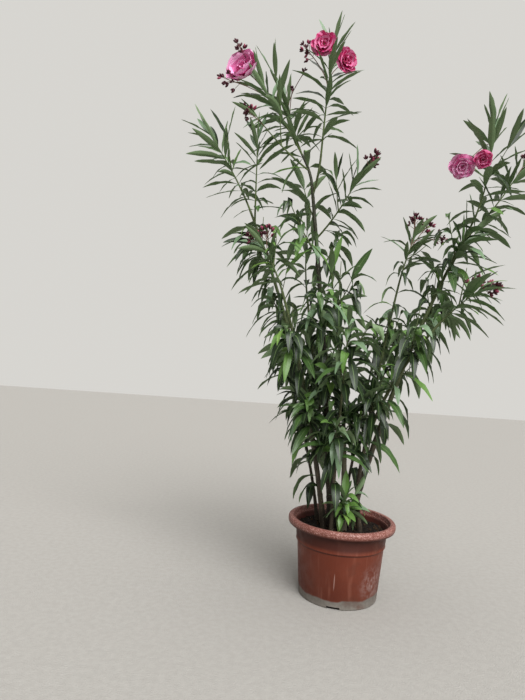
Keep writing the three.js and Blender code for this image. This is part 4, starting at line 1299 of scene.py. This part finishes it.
def flower_petals(template, stalk, radius, whorls, turned_by, random):
    """The vertices of each petal of a flower at the end of a stalk."""
    across, along, level = vertices_of(template).astype(float).T
    facing = unit(stalk.heading(1.0) + np.array(turned_by))
    foot = stalk.place(1.0) - facing * radius * FLOWER_DEPTH
    opened = np.sin(np.clip(along / PETAL_WIDEST, 0, 1) * math.pi / 2) ** PETAL_FLARE
    narrow = lerp(PETAL_FOOT_WIDTH, 1, opened)
    past = np.clip(along - PETAL_ROUNDS_FROM, 0, 1) / PETAL_ROUND
    rounded = np.sqrt(np.clip(1 - past**2, PETAL_END_WIDTH, 1))
    petals = []
    for whorl, (count, length, width, lean_foot, lean_edge) in enumerate(whorls):
        for i in range(count):
            turn_scatter = random.uniform(-PETAL_TURN_SCATTER, PETAL_TURN_SCATTER)
            radial = outwards(facing, (i + 0.5 * whorl + turn_scatter) * math.tau / count)
            side = np.cross(facing, radial)
            start = math.radians(lean_foot + random.uniform(-PETAL_FOOT_SCATTER, PETAL_FOOT_SCATTER))
            end = math.radians(lean_edge + random.uniform(-PETAL_EDGE_SCATTER, PETAL_EDGE_SCATTER))
            lean = lerp(start, end, along)
            reach = length * radius * random.uniform(*PETAL_REACH)
            out, up = petal_run(start, end, along)
            half = width * radius * narrow * rounded
            ruffle = np.zeros_like(across)
            for share, waves_across, waves_along, growth in PETAL_RIPPLES:
                phase = random.uniform(0, math.tau)
                wave = np.sin(across * waves_across + along * waves_along + phase)
                ruffle += share * wave * along**growth
            lift = PETAL_CUP * across**2 * half + PETAL_RUFFLE * radius * ruffle + level * PETAL_THICKNESS
            inward = -radial[None] * np.cos(lean)[:, None] + facing[None] * np.sin(lean)[:, None]
            places = foot + (radial[None] * out[:, None] + facing[None] * up[:, None]) * reach
            petals.append(places - side[None] * (across * half)[:, None] + inward * lift[:, None])
    return petals


petal = petal_template()
petal_faces = np.array([face.material_index for face in petal.polygons])
petal_looks = [
    plain_tissue("oleander petal, crimson pink", "#C42C6C", 0.55, SOFT_GLOSS),
    plain_tissue("oleander petal, edge of crimson pink", "#E07AA8", 0.6, SOFT_GLOSS),
    plain_tissue("oleander petal, older and lilac", "#DA70A8", 0.6, SOFT_GLOSS),
    plain_tissue("oleander petal, edge of lilac", "#F2B0D8", 0.6, SOFT_GLOSS),
]
random = np.random.default_rng(37)
petal_places, petal_slots, stalks, heads = [], [], [], []
for name, spec in MASSES.items():
    course = shoots[name]["course"]
    blooms, heads_of_buds = spec.get("blooms", []), spec.get("buds", [])
    for number, (*end, radius, kind) in enumerate(blooms):
        stalks.append(stalk_course(course, end, number))
        whorls, turned_by, first_slot = FLOWER_KINDS[kind]
        petals = flower_petals(petal, stalks[-1], radius * MM, whorls, turned_by, random)
        petal_places += petals
        petal_slots += [petal_faces + first_slot] * len(petals)
    for number, (*end, size) in enumerate(heads_of_buds, len(blooms)):
        stalks.append(stalk_course(course, end, number))
        heads.append((stalks[-1], size))
mesh = joined_mesh("flower_petals", petal, np.array(petal_places), petal_slots)
flowers = piece_of("flower_petals", mesh, petal_looks, 60)
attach(flowers, "root")


# The heads of buds
# Clusters of short plump buds, dark maroon and a few ripe pink, on reddish branched stalks at the
# ends of the shoots.
BUD_SIDES, BUD_STEPS = 8, 7
BUD_OUTLINE = ((0, 0.45), (0.12, 0.62), (0.3, 0.9), (0.5, 1.0), (0.7, 0.9), (0.88, 0.55), (1, 0.08))
BRANCHLETS, BUDS_ON_BRANCHLET = 8, 4
BRANCHLET_SPACING = 0.03
BRANCHLET_LENGTH = (0.012, 0.028)
BRANCHLET_RADIUS = 0.0010
BRANCHLET_RISE = BRANCHLET_LENGTH[0] / 4
HEAD_SPREAD, CLUSTER_SPREAD = 1.15, 0.75
BUD_STALK = (0.001, 0.006)
BUD_LENGTH = (0.011, 0.019)
BUD_GIRTH = 0.25
RIPE_SHARE = 0.22


def even_thickness(radius):
    """The radius of a rod that doesn't taper."""
    return lambda shares: np.full_like(shares, radius)


def head_of_buds(stalk, size, random):
    """The branchlets of one head, and each of its buds as a foot and an aim."""
    branchlets, tips = [], []
    for i in range(round(BRANCHLETS * size)):
        start, heading = stalk.place(1 - BRANCHLET_SPACING * i), stalk.heading(1.0)
        aim = leaning(heading, outwards(heading, i * GOLDEN_ANGLE), HEAD_SPREAD * math.sqrt(i / BRANCHLETS))
        end = start + aim * random.uniform(*BRANCHLET_LENGTH) * size
        branchlets.append(sweep(start, aim, end + UP * BRANCHLET_RISE, STALK_PULL))
        for j in range(BUDS_ON_BRANCHLET):
            out = outwards(aim, j * GOLDEN_ANGLE + i)
            bud_aim = leaning(aim, out, CLUSTER_SPREAD * math.sqrt(j / BUDS_ON_BRANCHLET))
            foot = branchlets[-1].place(1.0)
            tips.append((foot + bud_aim * random.uniform(*BUD_STALK), bud_aim))
    return branchlets, tips


def bud_rod(template, foot, aim, length):
    """The vertices of one bud, plump in its middle and pointed."""
    body = sweep(foot, aim, foot + aim * length, STALK_PULL)
    return bent_rod(template, body, lambda s: BUD_GIRTH * length * np.interp(s, *np.array(BUD_OUTLINE).T))


bud_body = rod_template("bud", BUD_SIDES, BUD_STEPS)
bud_places, bud_slots, branchlets = [], [], []
for stalk, size in heads:
    head_branchlets, buds = head_of_buds(stalk, size, random)
    branchlets += head_branchlets
    for foot, aim in buds:
        bud_places.append(bud_rod(bud_body, foot, aim, random.uniform(*BUD_LENGTH) * math.sqrt(size)))
        bud_slots.append([int(random.uniform() < RIPE_SHARE)] * len(bud_body.polygons))
mesh = joined_mesh("flower_buds", bud_body, np.array(bud_places), bud_slots)
bud_looks = [
    plain_tissue("oleander bud, maroon", "#471A25", 0.5, SOFT_GLOSS),
    plain_tissue("oleander bud, ripe pink", "#97405A", 0.5, SOFT_GLOSS),
]
bud_piece = piece_of("flower_buds", mesh, bud_looks, 60)
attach(bud_piece, "root")

stalk_rods = [bent_rod(shoot_rod, stalk, even_thickness(STALK_RADIUS)) for stalk in stalks]
stalk_rods += [bent_rod(shoot_rod, branchlet, even_thickness(BRANCHLET_RADIUS)) for branchlet in branchlets]
mesh = joined_mesh("flower_stalks", shoot_rod, np.array(stalk_rods))
stalk_bark = bark("oleander flower stalk", "#5A4436", "#6B5A3C", "#6A4A3C", 0.4, 1.4)
stalk_piece = piece_of("flower_stalks", mesh, [stalk_bark], 60)
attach(stalk_piece, "root")


# The studio
# A plain pale floor and an even pale world, lit softly from the front right and from above, with the
# camera at the photograph's place, height, tilt and angle of view.
FLOOR_HALF = 9
WORLD_SHADE = "#E6E4DF"
WORLD_LIGHT, WORLD_SEEN = 0.38, 0.86
# Each light's name, heading, strength and softness in degrees
LIGHTS = (
    ("key", (-0.3, 0.8, -0.8), 4.1, 45),
    ("top", (-0.1, 0.05, -1.0), 1.6, 60),
)
CAMERA_PLACE = (-0.341, -2.004, 0.849)
CAMERA_PITCH, CAMERA_ROLL = math.radians(1.32), math.radians(3.84)
CAMERA_LENS = 27.05

floor_shape = bmesh.new()
bmesh.ops.create_grid(floor_shape, x_segments=1, y_segments=1, size=FLOOR_HALF)
floor_matter = rough_matter("studio floor, pale and matt", "#9A9792", "#9F9C97", 0.02)
floor = piece_of("floor", mesh_from("floor", floor_shape), [floor_matter])

world = bpy.data.worlds.new("studio")
world.use_nodes = True
world_tree = world.node_tree
seen = add_node(world_tree, "ShaderNodeLightPath", {}).outputs["Is Camera Ray"]
strength = between(world_tree, seen, 0, 1, WORLD_LIGHT, WORLD_SEEN)
world_tree.nodes["Background"].inputs["Color"].default_value = linear(WORLD_SHADE)
world_tree.links.new(strength, world_tree.nodes["Background"].inputs["Strength"])
bpy.context.scene.world = world

for name, heading, strength, softness in LIGHTS:
    light = bpy.data.lights.new(name, "SUN")
    light.energy = strength
    light.angle = math.radians(softness)
    lamp = bpy.data.objects.new(name, light)
    lamp.rotation_euler = Vector(heading).to_track_quat("-Z", "Y").to_euler()
    bpy.context.scene.collection.objects.link(lamp)

camera = bpy.data.objects.new("camera", bpy.data.cameras.new("camera"))
camera.data.lens = CAMERA_LENS
level = Matrix.Rotation(math.pi / 2 + CAMERA_PITCH, 4, "X")
camera.matrix_world = Matrix.Translation(CAMERA_PLACE) @ level @ Matrix.Rotation(CAMERA_ROLL, 4, "Z")
bpy.context.scene.collection.objects.link(camera)
bpy.context.scene.camera = camera
bpy.context.scene.view_settings.view_transform = "Standard"
